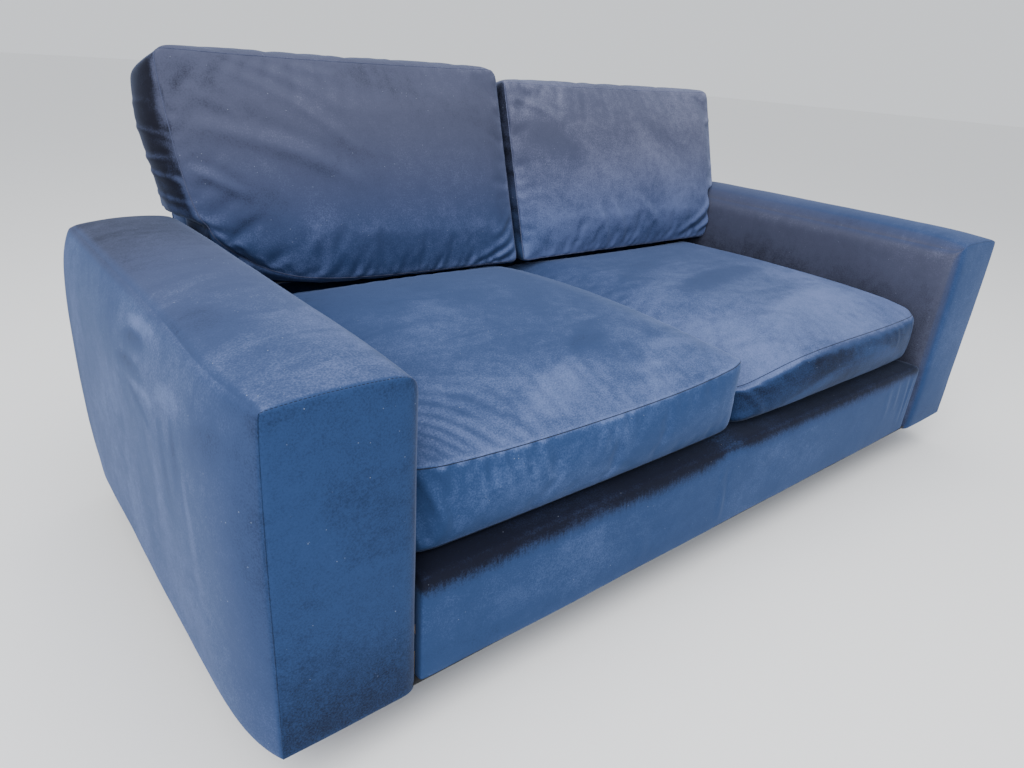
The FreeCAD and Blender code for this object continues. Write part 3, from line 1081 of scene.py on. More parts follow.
Finish = VelvetFinish | ClothFinish | WoodFinish | SpeckledFinish
VELVET = VelvetFinish()
COVERED_VELVET = VelvetFinish("navy_velvet_plain", painted=False)
THREAD = ClothFinish("sewing_thread", (0.012, 0.022, 0.055), (0.004, 0.008, 0.022), 900.0, 0.2)
LEG_WOOD = WoodFinish("oiled_leg_wood", (0.34, 0.18, 0.085), (0.13, 0.060, 0.026), 22.0, 0.2, 0.15)
ZIP_METAL = SpeckledFinish("zip_enamel", (0.05, 0.06, 0.09), (0.02, 0.025, 0.04), 500.0, (0.25, 0.4), 0.6)
ZIP_TAPE = ClothFinish("zip_tape_cloth", (0.030, 0.045, 0.10), (0.010, 0.016, 0.04), 900.0)
SLOT_FINISHES = {
    "velvet": COVERED_VELVET,
    "leg_wood": LEG_WOOD,
    "zip_metal": ZIP_METAL,
    "zip_tape": ZIP_TAPE,
    "frame_wood": WoodFinish("sawn_frame_wood", (0.74, 0.56, 0.34), (0.45, 0.30, 0.16), 9.0, 0.3),
    "foam": SpeckledFinish(
        "seat_foam", (0.86, 0.82, 0.66), (0.74, 0.68, 0.50), 420.0, (0.85, 0.95), 0.0, 0.5
    ),
    "fibre_pad": SpeckledFinish("fibre_casing", (0.88, 0.88, 0.86), (0.76, 0.76, 0.74), 90.0, (0.8, 0.9)),
    "deck_cloth": ClothFinish("deck_lining", (0.030, 0.045, 0.090), (0.012, 0.020, 0.045), 500.0),
    "dust_cloth": ClothFinish("black_dust_cloth", (0.035, 0.035, 0.037), (0.012, 0.012, 0.013), 380.0),
    "webbing": ClothFinish("jute_webbing", (0.55, 0.42, 0.25), (0.30, 0.21, 0.11), 260.0, 0.6),
    "spring_steel": SpeckledFinish(
        "oiled_spring_wire", (0.34, 0.34, 0.35), (0.16, 0.16, 0.17), 260.0, (0.3, 0.45), 1.0
    ),
    "zinc_steel": SpeckledFinish(
        "bright_zinc", (0.74, 0.75, 0.76), (0.52, 0.54, 0.57), 320.0, (0.22, 0.38), 1.0
    ),
}


# ---------------------------------------------------------------- the sofa's pieces


class Bench:
    """Hands a finished piece its material, its body and the nodes it stands for."""

    def __init__(self, shop: Workshop) -> None:
        """Keep the workshop for materials."""
        self.shop = shop

    def fit(
        self,
        piece: bpy.types.Object,
        body: str,
        slot: str,
        finish: Finish,
        nodes: Sequence[str] = (),
    ) -> bpy.types.Object:
        """Finish a piece and set it in the frame.

        Args:
            piece: The modelled piece.
            body: The body it rides on.
            slot: The record's material slot; not used.
            finish: What it is made of.
            nodes: The CAD nodes that it stands for.

        Returns:
            The same piece.
        """
        piece.data.materials.clear()
        piece.data.materials.append(finish.material(self.shop))
        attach(piece, body)
        if nodes:
            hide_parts(*nodes)
        log.info("%s: %d faces on %s", piece.name, len(piece.data.polygons), body)
        return piece


@dataclass(frozen=True)
class ArmTones:
    """How light or dark each panel of an arm is painted for the light and shade that fall on it, and how grey
    its painted sheen is.
    """

    outer: float
    top: float
    top_fade: float
    inner: float
    inner_low: float
    front: float
    outer_painted_sheen: float
    top_painted_sheen: float
    inner_painted_sheen: float


@dataclass
class Sided:
    """A piece that the sofa has on its left and on its right."""

    bench: Bench
    side: int

    @property
    def hand(self) -> str:
        """The side's name."""
        return "left" if self.side < 0 else "right"


@dataclass
class Arm(Sided):
    """One padded box arm, with its swelling outer panel and sewn front panel."""

    tones: ArmTones
    inner_round: float = 0.034
    seam_x: float = 0.960
    swell: float = 0.037
    crown: float = 0.016
    arch: float = 0.005
    cell: float = 0.0105
    strokes_outer: Sequence[Stroke] = ()
    strokes_top: Sequence[Stroke] = ()

    def build(self) -> None:
        """Model, finish and set the arm, then sew its seams."""
        low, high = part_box(f"arm_cover_{self.hand}")
        inner = min(abs(low.x), abs(high.x))
        xs = stations(inner, self.seam_x, self.cell, near_ends(inner, self.seam_x, (0.003, 0.008, 0.015)))
        ys = stations(low.y, high.y, self.cell, near_ends(low.y, high.y, (0.0025, 0.007, 0.015)))
        zs = stations(low.z, high.z, self.cell, near_ends(low.z, high.z, (0.003, 0.008, 0.015)))
        if self.side < 0:
            xs = -xs[::-1]
        piece = gridded_block(f"arm_{self.hand}_upholstery", (xs, ys, zs))
        rest = rest_of(piece)
        move_to(piece, self.shape(rest))
        count = len(piece.data.vertices)
        refined(piece, 1)
        rest = rest_of(piece)
        raise_by(piece, lumps(rest, 0.19, 3.0 + self.side) * 0.0018 + lumps(rest, 0.07, 5.0) * 0.0005)
        shaded_smooth(piece)
        self.tone(piece, rest)
        nodes = [f"arm_cover_{self.hand}", f"arm_padding_{self.hand}"]
        self.bench.fit(piece, "sofa_frame", "velvet", VELVET, nodes)
        self.sew(piece, count)

    def shape(self, rest: np.ndarray) -> np.ndarray:
        """Round the edges and swell the panels, working as if on the right-hand side."""
        mirror = np.array([self.side, 1, 1])
        block = rest * mirror
        points = block.copy()
        box = (block.min(0), block.max(0))
        edges = (
            ({0: -1, 1: -1}, self.inner_round),
            ({0: 1, 1: -1}, 0.0045),
            ({1: -1, 2: 1}, 0.007),
            ({0: -1, 2: 1}, 0.044),
            ({0: 1, 2: 1}, 0.011),
            ({1: 1, 2: 1}, 0.030),
            ({0: 1, 1: 1}, 0.020),
            ({0: -1, 1: 1}, 0.015),
            ({0: -1, 2: -1}, 0.004),
            ({0: 1, 2: -1}, 0.005),
            ({1: -1, 2: -1}, 0.004),
            ({1: 1, 2: -1}, 0.005),
        )
        for edge, radius in edges:
            round_edge(points, box, edge, radius)
        span = across(block)
        depth = block[:, 1] - box[0][1]
        drop = box[1][2] - block[:, 2]
        rise = 0.12 + 0.88 * (1 - np.exp(-depth / 0.055))
        fall = 1 - 0.04 * depth / depth.max()
        bowed = 0.13 + 0.20 * np.exp(-(((depth - 0.14) / 0.12) ** 2))
        under = bowed + (1 - bowed) * (1 - np.exp(-drop / 0.055))
        outer = smoothstep(0.5, 1.0, span[:, 0])
        points[:, 0] += self.swell * rise * fall * under * outer
        rear = smoothstep(0.7, 1.0, span[:, 1])
        low = np.exp(-((block[:, 2] - box[0][2]) / 0.06))
        points[:, 0] -= 0.009 * outer * rear * low
        across_top = 1 - np.abs(span[:, 0]) ** 2.3
        points[:, 2] += self.arch * across_top * smoothstep(0.55, 1.0, span[:, 2])
        points[:, 2] -= 0.007 * np.exp(-depth / 0.2) * smoothstep(0.6, 1.0, -span[:, 2])
        points += dome(block, 2, 1, self.crown, (2.3, 9.0))
        points += dome(block, 1, -1, 0.006, (2.6, 4.0))
        return points * mirror

    def tone(self, piece: bpy.types.Object, rest: np.ndarray) -> None:
        """Paint each panel's light and shade, its pile patches and its painted sheen."""
        block = rest * np.array([self.side, 1, 1])
        span = across(block)
        normals = point_normals(piece) * np.array([self.side, 1, 1])
        outer = smoothstep(0.35, 0.75, normals[:, 0])
        inner = smoothstep(0.35, 0.75, -normals[:, 0])
        top = smoothstep(0.4, 0.75, normals[:, 2])
        front = smoothstep(0.45, 0.85, -normals[:, 1])
        ahead = smoothstep(-1.0, 0.9, -span[:, 1])
        tones = self.tones
        total = np.maximum(outer + inner + top + front, 1.0)
        outer, inner, top, front = outer / total, inner / total, top / total, front / total
        # Painted shade on the rounded edges between panels.
        turning = 0.10 * (1 - np.max([outer, inner, top, front], axis=0))
        near_seam = np.exp(-(block[:, 1] - block[:, 1].min()) / 0.05)
        # Painted light and shade: each panel lighter or darker by which way it faces, and the top darker
        # towards the rear.
        nap_and_shade = 0.5 + (tones.outer - 0.5) * outer + (tones.top + tones.top_fade * (1 - ahead) - 0.5) * top
        nap_and_shade += (tones.inner - 0.5) * inner + (tones.front - 0.5) * front - turning
        # Painted shade: the front panel darker low down, the outer panel darker near the front seam, the
        # inner panel darker low down by the seat cushion.
        nap_and_shade -= 0.22 * front * smoothstep(0.2, 1.0, -span[:, 2])
        nap_and_shade -= 0.24 * outer * near_seam * smoothstep(-1.0, 0.3, span[:, 2])
        nap_and_shade -= tones.inner_low * inner * smoothstep(0.9, 0.2, span[:, 2])
        nap_and_shade += pile_and_highlight_patches(rest, 0, self.side, self.strokes_outer)
        nap_and_shade += pile_and_highlight_patches(rest, 2, 1, self.strokes_top)
        # Painted crease shading from the painted light direction.
        paint(piece, NAP_AND_SHADE, nap_and_shade + 0.5 * painted_crease_shade(piece, PAINTED_LIGHT_DIRECTION, 10))
        # Painted sheen: greying on the top, inner and outer panels, less towards the front of the top.
        painted_sheen = tones.top_painted_sheen * top * (1 - 0.6 * ahead) + tones.inner_painted_sheen * inner + tones.outer_painted_sheen * outer
        paint(piece, PAINTED_SHEEN, painted_sheen + 0.03)

    def sew(self, piece: bpy.types.Object, count: int) -> None:
        """Sew the seams round the front panel."""
        outward = self.side
        top = edge_path(piece, 0, {1: -1, 2: 1}, count)
        outer = edge_path(piece, 2, {0: outward, 1: -1}, count)
        welt = seam(f"arm_{self.hand}_front_outer_seam", outer, WELT_RADIUS)
        paint(welt, NAP_AND_SHADE, 0.30)
        self.bench.fit(welt, "sofa_frame", "velvet", VELVET)
        row = stitches(f"arm_{self.hand}_front_top_stitches", top, pitch=0.0052, length=0.0034, radius=0.0005)
        self.bench.fit(row, "sofa_frame", "velvet", THREAD)


# Painted light and shade, and painted sheen, for each arm's panels.
LEFT_ARM = ArmTones(0.62, 0.73, -0.50, 0.36, 0.1, 0.46, 0.20, 0.60, 0.4)
RIGHT_ARM = ArmTones(0.60, 0.56, -0.10, 0.58, 0.27, 0.56, 0.25, 0.45, 0.70)
LEFT_OUTER_STROKES = [
    Stroke((0.42, 0.95), (0.075, 0.014), -6, 0.16),
    Stroke((0.40, 0.77), (0.060, 0.012), -4, 0.14),
    Stroke((0.27, 0.85), (0.060, 0.030), -14, 0.12),
    Stroke((0.44, 0.90), (0.055, 0.018), -8, -0.30),
    Stroke((0.47, 0.81), (0.070, 0.018), -6, -0.28),
    Stroke((0.42, 0.72), (0.055, 0.012), 12, -0.22),
    Stroke((0.24, 0.74), (0.014, 0.060), -6, -0.24),
    Stroke((0.30, 0.64), (0.016, 0.110), -8, -0.20),
    Stroke((0.20, 0.60), (0.012, 0.130), -4, 0.12),
    Stroke((0.36, 0.50), (0.030, 0.160), -6, 0.10),
    Stroke((0.12, 0.86), (0.070, 0.030), -20, -0.16),
    Stroke((0.55, 0.35), (0.050, 0.160), 4, 0.06),
    Stroke((0.97, 0.55), (0.045, 0.40), 0, -0.22),
]
LEFT_TOP_STROKES = [
    Stroke((0.10, 0.30), (0.045, 0.120), 8, -0.20),
    Stroke((0.55, 0.42), (0.070, 0.050), 0, -0.05),
    Stroke((0.30, 0.12), (0.060, 0.050), 0, -0.08),
    Stroke((0.75, 0.62), (0.040, 0.100), 15, 0.05),
]


@dataclass
class BaseFront:
    """The padded front of the base, between the arms."""

    bench: Bench
    cell: float = 0.012

    def build(self) -> None:
        """Model, finish and set the front."""
        low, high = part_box("base_front_cover")
        xs = stations(low.x, high.x, self.cell, near_ends(low.x, high.x, (0.003, 0.008)))
        ys = stations(low.y, high.y, 0.012, near_ends(low.y, high.y, (0.004, 0.010, 0.018)))
        zs = stations(low.z, high.z, 0.008, near_ends(low.z, high.z, (0.004, 0.010, 0.018)))
        piece = gridded_block("base_front_upholstery", (xs, ys, zs))
        rest = rest_of(piece)
        points = rounded(rest, (0.006, 0.008, 0.006), (0.006, 0.004, 0.030))
        points[:, 2] -= 0.006 * smoothstep(0.6, 1.0, -across(rest)[:, 2])
        move_to(piece, points + dome(rest, 1, -1, 0.004, (6.0, 4.0)))
        refined(piece, 1)
        rest = rest_of(piece)
        raise_by(piece, lumps(rest, 0.22, 9.0) * 0.0014 + lumps(rest, 0.05, 11.0) * 0.0003)
        fold_side(piece, 1, -1, self.folds())
        shaded_smooth(piece)
        self.tone(piece, rest)
        nodes = ["base_front_cover", "base_front_padding"]
        self.bench.fit(piece, "sofa_frame", "velvet", VELVET, nodes)

    def folds(self) -> list[Fold]:
        """The soft vertical line near the middle and the drag lines at the right end."""
        return [
            Fold((0.448, 0.78), (0.460, 0.08), 0.0024, 0.007, 0.002),
            Fold((0.455, 0.80), (0.440, 0.55), 0.0014, 0.006),
            Fold((0.955, 0.95), (0.962, 0.15), 0.0026, 0.009, 0.004),
            Fold((0.982, 0.90), (0.978, 0.20), 0.0022, 0.007, -0.003),
            Fold((0.925, 0.90), (0.930, 0.45), 0.0014, 0.008),
            Fold((0.895, 0.85), (0.90, 0.35), 0.0012, 0.010),
            Fold((0.30, 0.45), (0.31, 0.10), 0.0008, 0.012),
        ]

    def tone(self, piece: bpy.types.Object, rest: np.ndarray) -> None:
        """Paint the face, with a painted shadow, ragged at its edge, along its top where the seat cushions
        shade it.
        """
        x, z = rest[:, 0], rest[:, 2]
        # Lower edge of the painted shadow under the seat cushions, higher near the middle and towards the
        # right end.
        edge = 0.254 + 0.004 * lumps(rest * np.array([1, 0, 0]), 0.07, 21.0)
        middle = np.exp(-(((x + 0.04) / 0.075) ** 2)) * 0.020
        right = smoothstep(0.02, 0.25, x) * 0.009
        edge = edge + middle + right
        shadow_band = smoothstep(-0.026, 0.022, z - edge)
        paint(piece, PAINTED_SHADOW_FRINGE, 0.45 * np.exp(-(((z - edge) / 0.016) ** 2)))
        span = across(rest)
        # Painted light and shade: the face darker towards its right end and its foot, and the shadow taking
        # it almost to the deep shaded colour.
        face = 0.58 - 0.12 * smoothstep(0.1, 1.0, span[:, 0]) - 0.08 * smoothstep(0.3, 1.0, -span[:, 2])
        paint(piece, NAP_AND_SHADE, face - (face - 0.03) * shadow_band + 0.7 * painted_crease_shade(piece, PAINTED_LIGHT_DIRECTION, 12))
        # Painted sheen: greyer in the painted shadow and towards the right end.
        paint(piece, PAINTED_SHEEN, 0.30 * shadow_band + 0.10 * smoothstep(0.0, 1.0, span[:, 0]))


@dataclass(frozen=True)
class SeatForm:
    """How one seat cushion sits: its front seam, its droop, its crown and its creases."""

    front_round: float
    seam_ends: tuple[float, float, float]
    inner_droop: float
    bulge: float
    crown: float
    arch: float
    slack: float
    # Painted light and shade on the top and front, and painted sheen.
    tone_top: float
    tone_front: float
    painted_sheen_top: float
    painted_sheen_front: float
    folds_top: Sequence[Fold]
    folds_front: Sequence[Fold]
    strokes_top: Sequence[Stroke]
    strokes_front: Sequence[Stroke]


@dataclass
class SeatCushion(Sided):
    """A loose seat cushion: crowned, boxed, and filled by simulation."""

    form: SeatForm
    boxing: float = 0.150
    shrink: float = 0.004
    cell: float = 0.0105
    room: float = 0.0012
    covered_from: Share = (0.16, 0.20)
    covered_top: float = 0.4475
    open_rise: float = 0.06
    zip_margin: Share = (0.008, 0.0015)
    groove_gap: float = 0.0025

    @property
    def body(self) -> str:
        """The body that the cushion rides on."""
        return f"seat_cushion_{self.hand}"

    def build(self) -> None:
        """Model, fill, finish and sew the cushion."""
        low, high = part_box(f"seat_cover_{self.hand}")
        self.low, self.high = np.array(low), np.array(high)
        zip_low, zip_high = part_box(f"seat_zip_{self.hand}")
        groove = (zip_low.z - self.groove_gap, zip_low.z, zip_high.z, zip_high.z + self.groove_gap)
        left, right = low.x + self.shrink, high.x - self.shrink
        front, rear = low.y + self.shrink, high.y - self.shrink
        xs = stations(left, right, self.cell, near_ends(left, right, (0.005,)))
        ys = stations(front, rear, self.cell, near_ends(front, rear, (0.005,)))
        zs = stations(low.z, low.z + self.boxing, self.cell, groove)
        piece = gridded_block(f"seat_cushion_{self.hand}_cover", (xs, ys, zs))
        rest = rest_of(piece)
        move_to(piece, self.shape(rest))
        inflate(piece, self.hold(rest), pressure=3.0, cap=0.018, slack=self.form.slack)
        self.settle(piece, rest)
        count = len(piece.data.vertices)
        refined(piece, 1)
        rest = rest_of(piece)
        fold_side(piece, 2, 1, self.form.folds_top)
        fold_side(piece, 1, -1, self.form.folds_front)
        shaded_smooth(piece)
        self.tone(piece, rest)
        nodes = [f"seat_cover_{self.hand}", f"seat_foam_{self.hand}"]
        self.bench.fit(piece, self.body, "velvet", VELVET, nodes)
        self.sew(piece, count)

    def shape(self, rest: np.ndarray) -> np.ndarray:
        """Crown the top, roll the front and let the front seam sag, before filling."""
        form = self.form
        points = rounded(rest, (0.015, form.front_round, 0.026), (0.015, 0.016, max(0.010, form.front_round)))
        span = across(rest)
        outward = span[:, 0] * self.side
        ahead = rest[:, 1] - rest[:, 1].min()
        height = (rest[:, 2] - rest[:, 2].min()) / (rest[:, 2].max() - rest[:, 2].min())
        outer_end, middle, inner_end = form.seam_ends
        line = middle * (1 - outward**2) + (outer_end + inner_end) / 2 * outward**2
        line = line + (outer_end - inner_end) / 2 * outward * np.abs(outward)
        rear = smoothstep(0.0, 1.0, span[:, 1])
        lift = line * np.exp(-ahead / 0.10) + form.arch * (1 - span[:, 1] ** 2) - 0.006 * rear
        inner = (1 + outward) / 2 * (rest[:, 0].max() - rest[:, 0].min())
        droop = form.inner_droop * np.exp(-((inner / 0.13) ** 2)) * np.exp(-((ahead / 0.16) ** 2))
        points[:, 2] += (lift - droop) * height**1.5
        points[:, 1] += 0.5 * droop * height
        points += dome(rest, 2, 1, form.crown, (2.2, 2.4))
        belly = form.bulge * (1 - np.abs(outward) ** 3.5) * np.sin(np.pi * np.clip(height, 0, 1)) ** 0.6
        seam_out = form.bulge * 0.75 * (1 - np.abs(outward) ** 3)
        forward = smoothstep(0.10, 0.0, ahead)
        points[:, 1] -= forward * (np.maximum(belly, 0) * 0.6 + seam_out * (0.3 + 0.7 * height))
        corner = smoothstep(0.88, 1.0, np.abs(outward)) * forward
        points[:, 1] += 0.006 * corner
        return points

    def hold(self, rest: np.ndarray) -> np.ndarray:
        """Hold the seams and the underside while the cushion is filled."""
        under = on_side(rest, 2, -1)
        rear = on_side(rest, 1, 1)
        return np.maximum(on_edges(rest) * 0.97, np.maximum(under * 1.0, rear * 0.9))

    def settle(self, piece: bpy.types.Object, rest: np.ndarray) -> None:
        """Keep the cushion clear of its neighbours, and sink the zip's groove."""
        points = coordinates(piece)
        outer_limit = max(abs(self.low[0]), abs(self.high[0])) + self.room
        reach = np.clip(np.abs(points[:, 0]), self.room, outer_limit)
        points[:, 0] = np.sign(points[:, 0]) * reach
        points[:, 2] = np.maximum(points[:, 2], self.low[2])
        points[:, 1] = np.minimum(points[:, 1], self.high[1] + self.room)
        covered = smoothstep(*self.covered_from, points[:, 1])
        points[:, 2] = np.minimum(points[:, 2], self.covered_top + (1 - covered) * self.open_rise)
        zip_low, zip_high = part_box(f"seat_zip_{self.hand}")
        inside = on_side(rest, 1, 1)
        for axis, margin in zip((0, 2), self.zip_margin):
            inside &= (rest[:, axis] > zip_low[axis] - margin) & (rest[:, axis] < zip_high[axis] + margin)
        points[inside, 1] = zip_low.y - 0.0002
        points[inside, 2] = rest[inside, 2]
        move_to(piece, points)

    def tone(self, piece: bpy.types.Object, rest: np.ndarray) -> None:
        """Paint light and shade on the top and front, with the top darker towards the rear, plus painted
        crease shading, tone patches and a painted sheen.
        """
        form = self.form
        normals = point_normals(piece)
        span = across(rest)
        top = smoothstep(0.45, 0.85, normals[:, 2])
        front = smoothstep(0.35, 0.85, -normals[:, 1])
        ahead = smoothstep(-1.0, 1.0, -span[:, 1])
        # Painted light and shade: top and front lighter or darker by which way they face, the top darker
        # towards the rear.
        nap_and_shade = 0.34 + (form.tone_top - 0.23 * (1 - ahead) - 0.34) * top + (form.tone_front - 0.34) * front
        nap_and_shade += pile_and_highlight_patches(rest, 2, 1, form.strokes_top) + pile_and_highlight_patches(rest, 1, -1, form.strokes_front)
        paint(piece, NAP_AND_SHADE, nap_and_shade + 0.8 * painted_crease_shade(piece, PAINTED_LIGHT_DIRECTION, 30))
        # Painted sheen on the top and front.
        painted_sheen = form.painted_sheen_top * top + form.painted_sheen_front * front
        paint(piece, PAINTED_SHEEN, painted_sheen)

    def sew(self, piece: bpy.types.Object, count: int) -> None:
        """Sew the four seams of the top panel and the front ones of the lower panel."""
        courses = {
            "front_top": (0, {1: -1, 2: 1}),
            "rear_top": (0, {1: 1, 2: 1}),
            "inner_top": (1, {0: -self.side, 2: 1}),
            "outer_top": (1, {0: self.side, 2: 1}),
            "front_lower": (0, {1: -1, 2: -1}),
        }
        for name, (axis, fixed) in courses.items():
            path = edge_path(piece, axis, fixed, count)
            welt = seam(f"seat_cushion_{self.hand}_{name}_seam", path, WELT_RADIUS)
            self.bench.fit(welt, self.body, "velvet", THREAD)


@dataclass(frozen=True)
class BackForm:
    """How one back cushion leans: its height, its fullness, its tucked corner and its creases."""

    height: float
    gap: float
    crown: float
    tuck: Share
    tuck_depth: float
    corner: float
    side_bulge: float
    proud: float
    # Painted light level of the front face.
    tone: float
    folds_front: Sequence[Fold]
    folds_side: Sequence[Fold]
    strokes: Sequence[Stroke]


@dataclass
class BackCushion(Sided):
    """A loose back cushion that leans on the fixed back and rests over the arm."""

    form: BackForm
    rake: float = BACK_RAKE
    thickness: float = 0.150
    cell: float = 0.0105
    rear_room: float = 0.155
    wall_gap: float = 0.0025
    over_arm: Share = (0.008, 0.024)
    free_reach: float = 0.2
    softness: float = 0.005
    middle_gap: float = 0.0012

    @property
    def body(self) -> str:
        """The body that the cushion rides on."""
        return f"back_cushion_{self.hand}"

    def build(self) -> None:
        """Model, fill, lean, finish and sew the cushion."""
        low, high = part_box(f"back_cushion_cover_{self.hand}")
        self.low, self.high = np.array(low), np.array(high)
        self.reach = max(abs(low.x), abs(high.x)) + self.form.proud
        ends = sorted((self.form.gap * self.side, self.reach * self.side))
        xs = stations(ends[0], ends[1], self.cell, near_ends(ends[0], ends[1], (0.005,)))
        ys = stations(0.0, self.thickness, self.cell)
        zs = stations(0.0, self.form.height, self.cell)
        piece = gridded_block(f"back_cushion_{self.hand}_cover", (xs, ys, zs))
        rest = rest_of(piece)
        move_to(piece, self.shape(rest))
        inflate(piece, self.hold(rest), pressure=2.4, cap=0.012, slack=0.010)
        move_to(piece, self.leaned(coordinates(piece)))
        count = len(piece.data.vertices)
        refined(piece, 1)
        rest = rest_of(piece)
        fold_side(piece, 1, -1, self.form.folds_front)
        fold_side(piece, 0, self.side, self.form.folds_side)
        shaded_smooth(piece)
        self.tone(piece, rest)
        nodes = [f"back_cushion_cover_{self.hand}", f"back_cushion_pad_{self.hand}"]
        self.bench.fit(piece, self.body, "velvet", VELVET, nodes)
        self.sew(piece, count)

    def shape(self, rest: np.ndarray) -> np.ndarray:
        """Crown the front, round the outline and tuck the lower outer corner, before filling."""
        form = self.form
        points = rounded(rest, (0.016, 0.014, 0.024), (0.016, 0.030, 0.030))
        span = across(rest)
        box = (rest.min(0), rest.max(0))
        for sign in (-1, 1):
            round_edge(points, box, {0: sign, 2: 1}, form.corner)
        share = rest[:, 2] / form.height
        full = 1 - np.abs(2 * np.clip(share, 0, 1) ** 0.8 - 1) ** 2.3
        wide = 1 - np.abs(span[:, 0]) ** 2.3
        points[:, 1] -= form.crown * full * wide * on_side(rest, 1, -1)
        boxing = on_side(rest, 0, self.side) * (1 - np.abs(span[:, 1]) ** 2.2)
        height_share = np.interp(share, (0.0, 0.3, 0.5, 0.75, 0.95, 1.0), (0.0, 0.1, 0.5, 1.0, 0.6, 0.2))
        points[:, 0] += self.side * form.side_bulge * height_share * boxing
        points += dome(rest, 2, 1, 0.012, (3.5, 2.0))
        points[:, 2] -= 0.004 * (1 - span[:, 0] ** 2) * smoothstep(0.8, 1.0, share)
        front = 1 - rest[:, 1] / self.thickness
        wide_leg, high_leg = form.tuck
        away = self.reach - np.abs(points[:, 0])
        sum_share = np.maximum(away / wide_leg + points[:, 2] / high_leg, 0.0)
        push = (1 + sum_share**3) ** (1 / 3) - sum_share
        points[:, 0] -= self.side * push * wide_leg / 2 * front
        points[:, 2] += push * high_leg / 2 * front
        points[:, 1] += form.tuck_depth * np.clip(push, 0, 1) ** 1.5 * front
        return points

    def hold(self, rest: np.ndarray) -> np.ndarray:
        """Hold the seams, and the rear where it rests on the back."""
        return np.maximum(on_edges(rest) * 0.95, on_side(rest, 1, 1) * 0.9)

    def leaned(self, points: np.ndarray) -> np.ndarray:
        """Lean the upright cushion on the back, settle its underside and squeeze it between the arms.

        Args:
            points: The filled cushion's points, with depth along Y and height along Z.

        Returns:
            The points in their place on the sofa.
        """
        cos, sin, tan = math.cos(self.rake), math.sin(self.rake), math.tan(self.rake)
        up = points[:, 2] + (1 - points[:, 2] / self.form.height) * points[:, 1] * tan
        y = self.low[1] + points[:, 1] * cos + up * sin
        z = np.maximum(self.low[2] - points[:, 1] * sin + up * cos, self.low[2] + 0.0005)
        rear_limit = self.low[1] + self.rear_room / cos + 0.001 + (z - self.low[2]) * tan
        y = np.minimum(y, rear_limit)
        arm_low, arm_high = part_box(f"arm_cover_{self.hand}")
        wall = min(abs(arm_low.x), abs(arm_high.x)) - self.wall_gap
        start, end = self.over_arm
        below = 1 - smoothstep(arm_high.z + start, arm_high.z + end, z)
        limit = wall + (1 - below) * self.free_reach
        spare = (limit - np.abs(points[:, 0])) / self.softness
        pressed = limit - self.softness * np.logaddexp(0, spare)
        x = self.side * np.maximum(pressed, self.middle_gap)
        return np.column_stack([x, y, z])

    def tone(self, piece: bpy.types.Object, rest: np.ndarray) -> None:
        """Paint the upper face greyer with a painted sheen and the lower part lighter, saturated blue where
        it curls under, with the sides darker in painted shade.
        """
        normals = point_normals(piece)
        span = across(rest)
        lower = smoothstep(-0.6, 1.0, -span[:, 2])
        side = smoothstep(0.55, 0.9, np.abs(normals[:, 0]))
        # Painted light and shade: the lower part lighter, the sides darker.
        nap_and_shade = self.form.tone + 0.13 * lower - 0.42 * side + pile_and_highlight_patches(rest, 1, -1, self.form.strokes)
        paint(piece, NAP_AND_SHADE, nap_and_shade + 0.8 * painted_crease_shade(piece, PAINTED_LIGHT_DIRECTION, 40))
        # Painted sheen: greyer on the upper face, a little less on the sides.
        paint(piece, PAINTED_SHEEN, 0.50 * (1 - lower) * (1 - 0.3 * side) + 0.20)

    def sew(self, piece: bpy.types.Object, count: int) -> None:
        """Sew the four seams of the front panel."""
        courses = {
            "top": (0, {1: -1, 2: 1}),
            "lower": (0, {1: -1, 2: -1}),
            "inner": (2, {0: -self.side, 1: -1}),
            "outer": (2, {0: self.side, 1: -1}),
        }
        for name, (axis, fixed) in courses.items():
            path = edge_path(piece, axis, fixed, count)
            welt = seam(f"back_cushion_{self.hand}_{name}_seam", path, FULL_WELT_RADIUS)
            # Painted highlight: the welts a little lighter and greyer than the face, where the light catches
            # the seams.
            paint(welt, NAP_AND_SHADE, self.form.tone + 0.12)
            paint(welt, PAINTED_SHEEN, 0.6)
            self.bench.fit(welt, self.body, "velvet", VELVET)


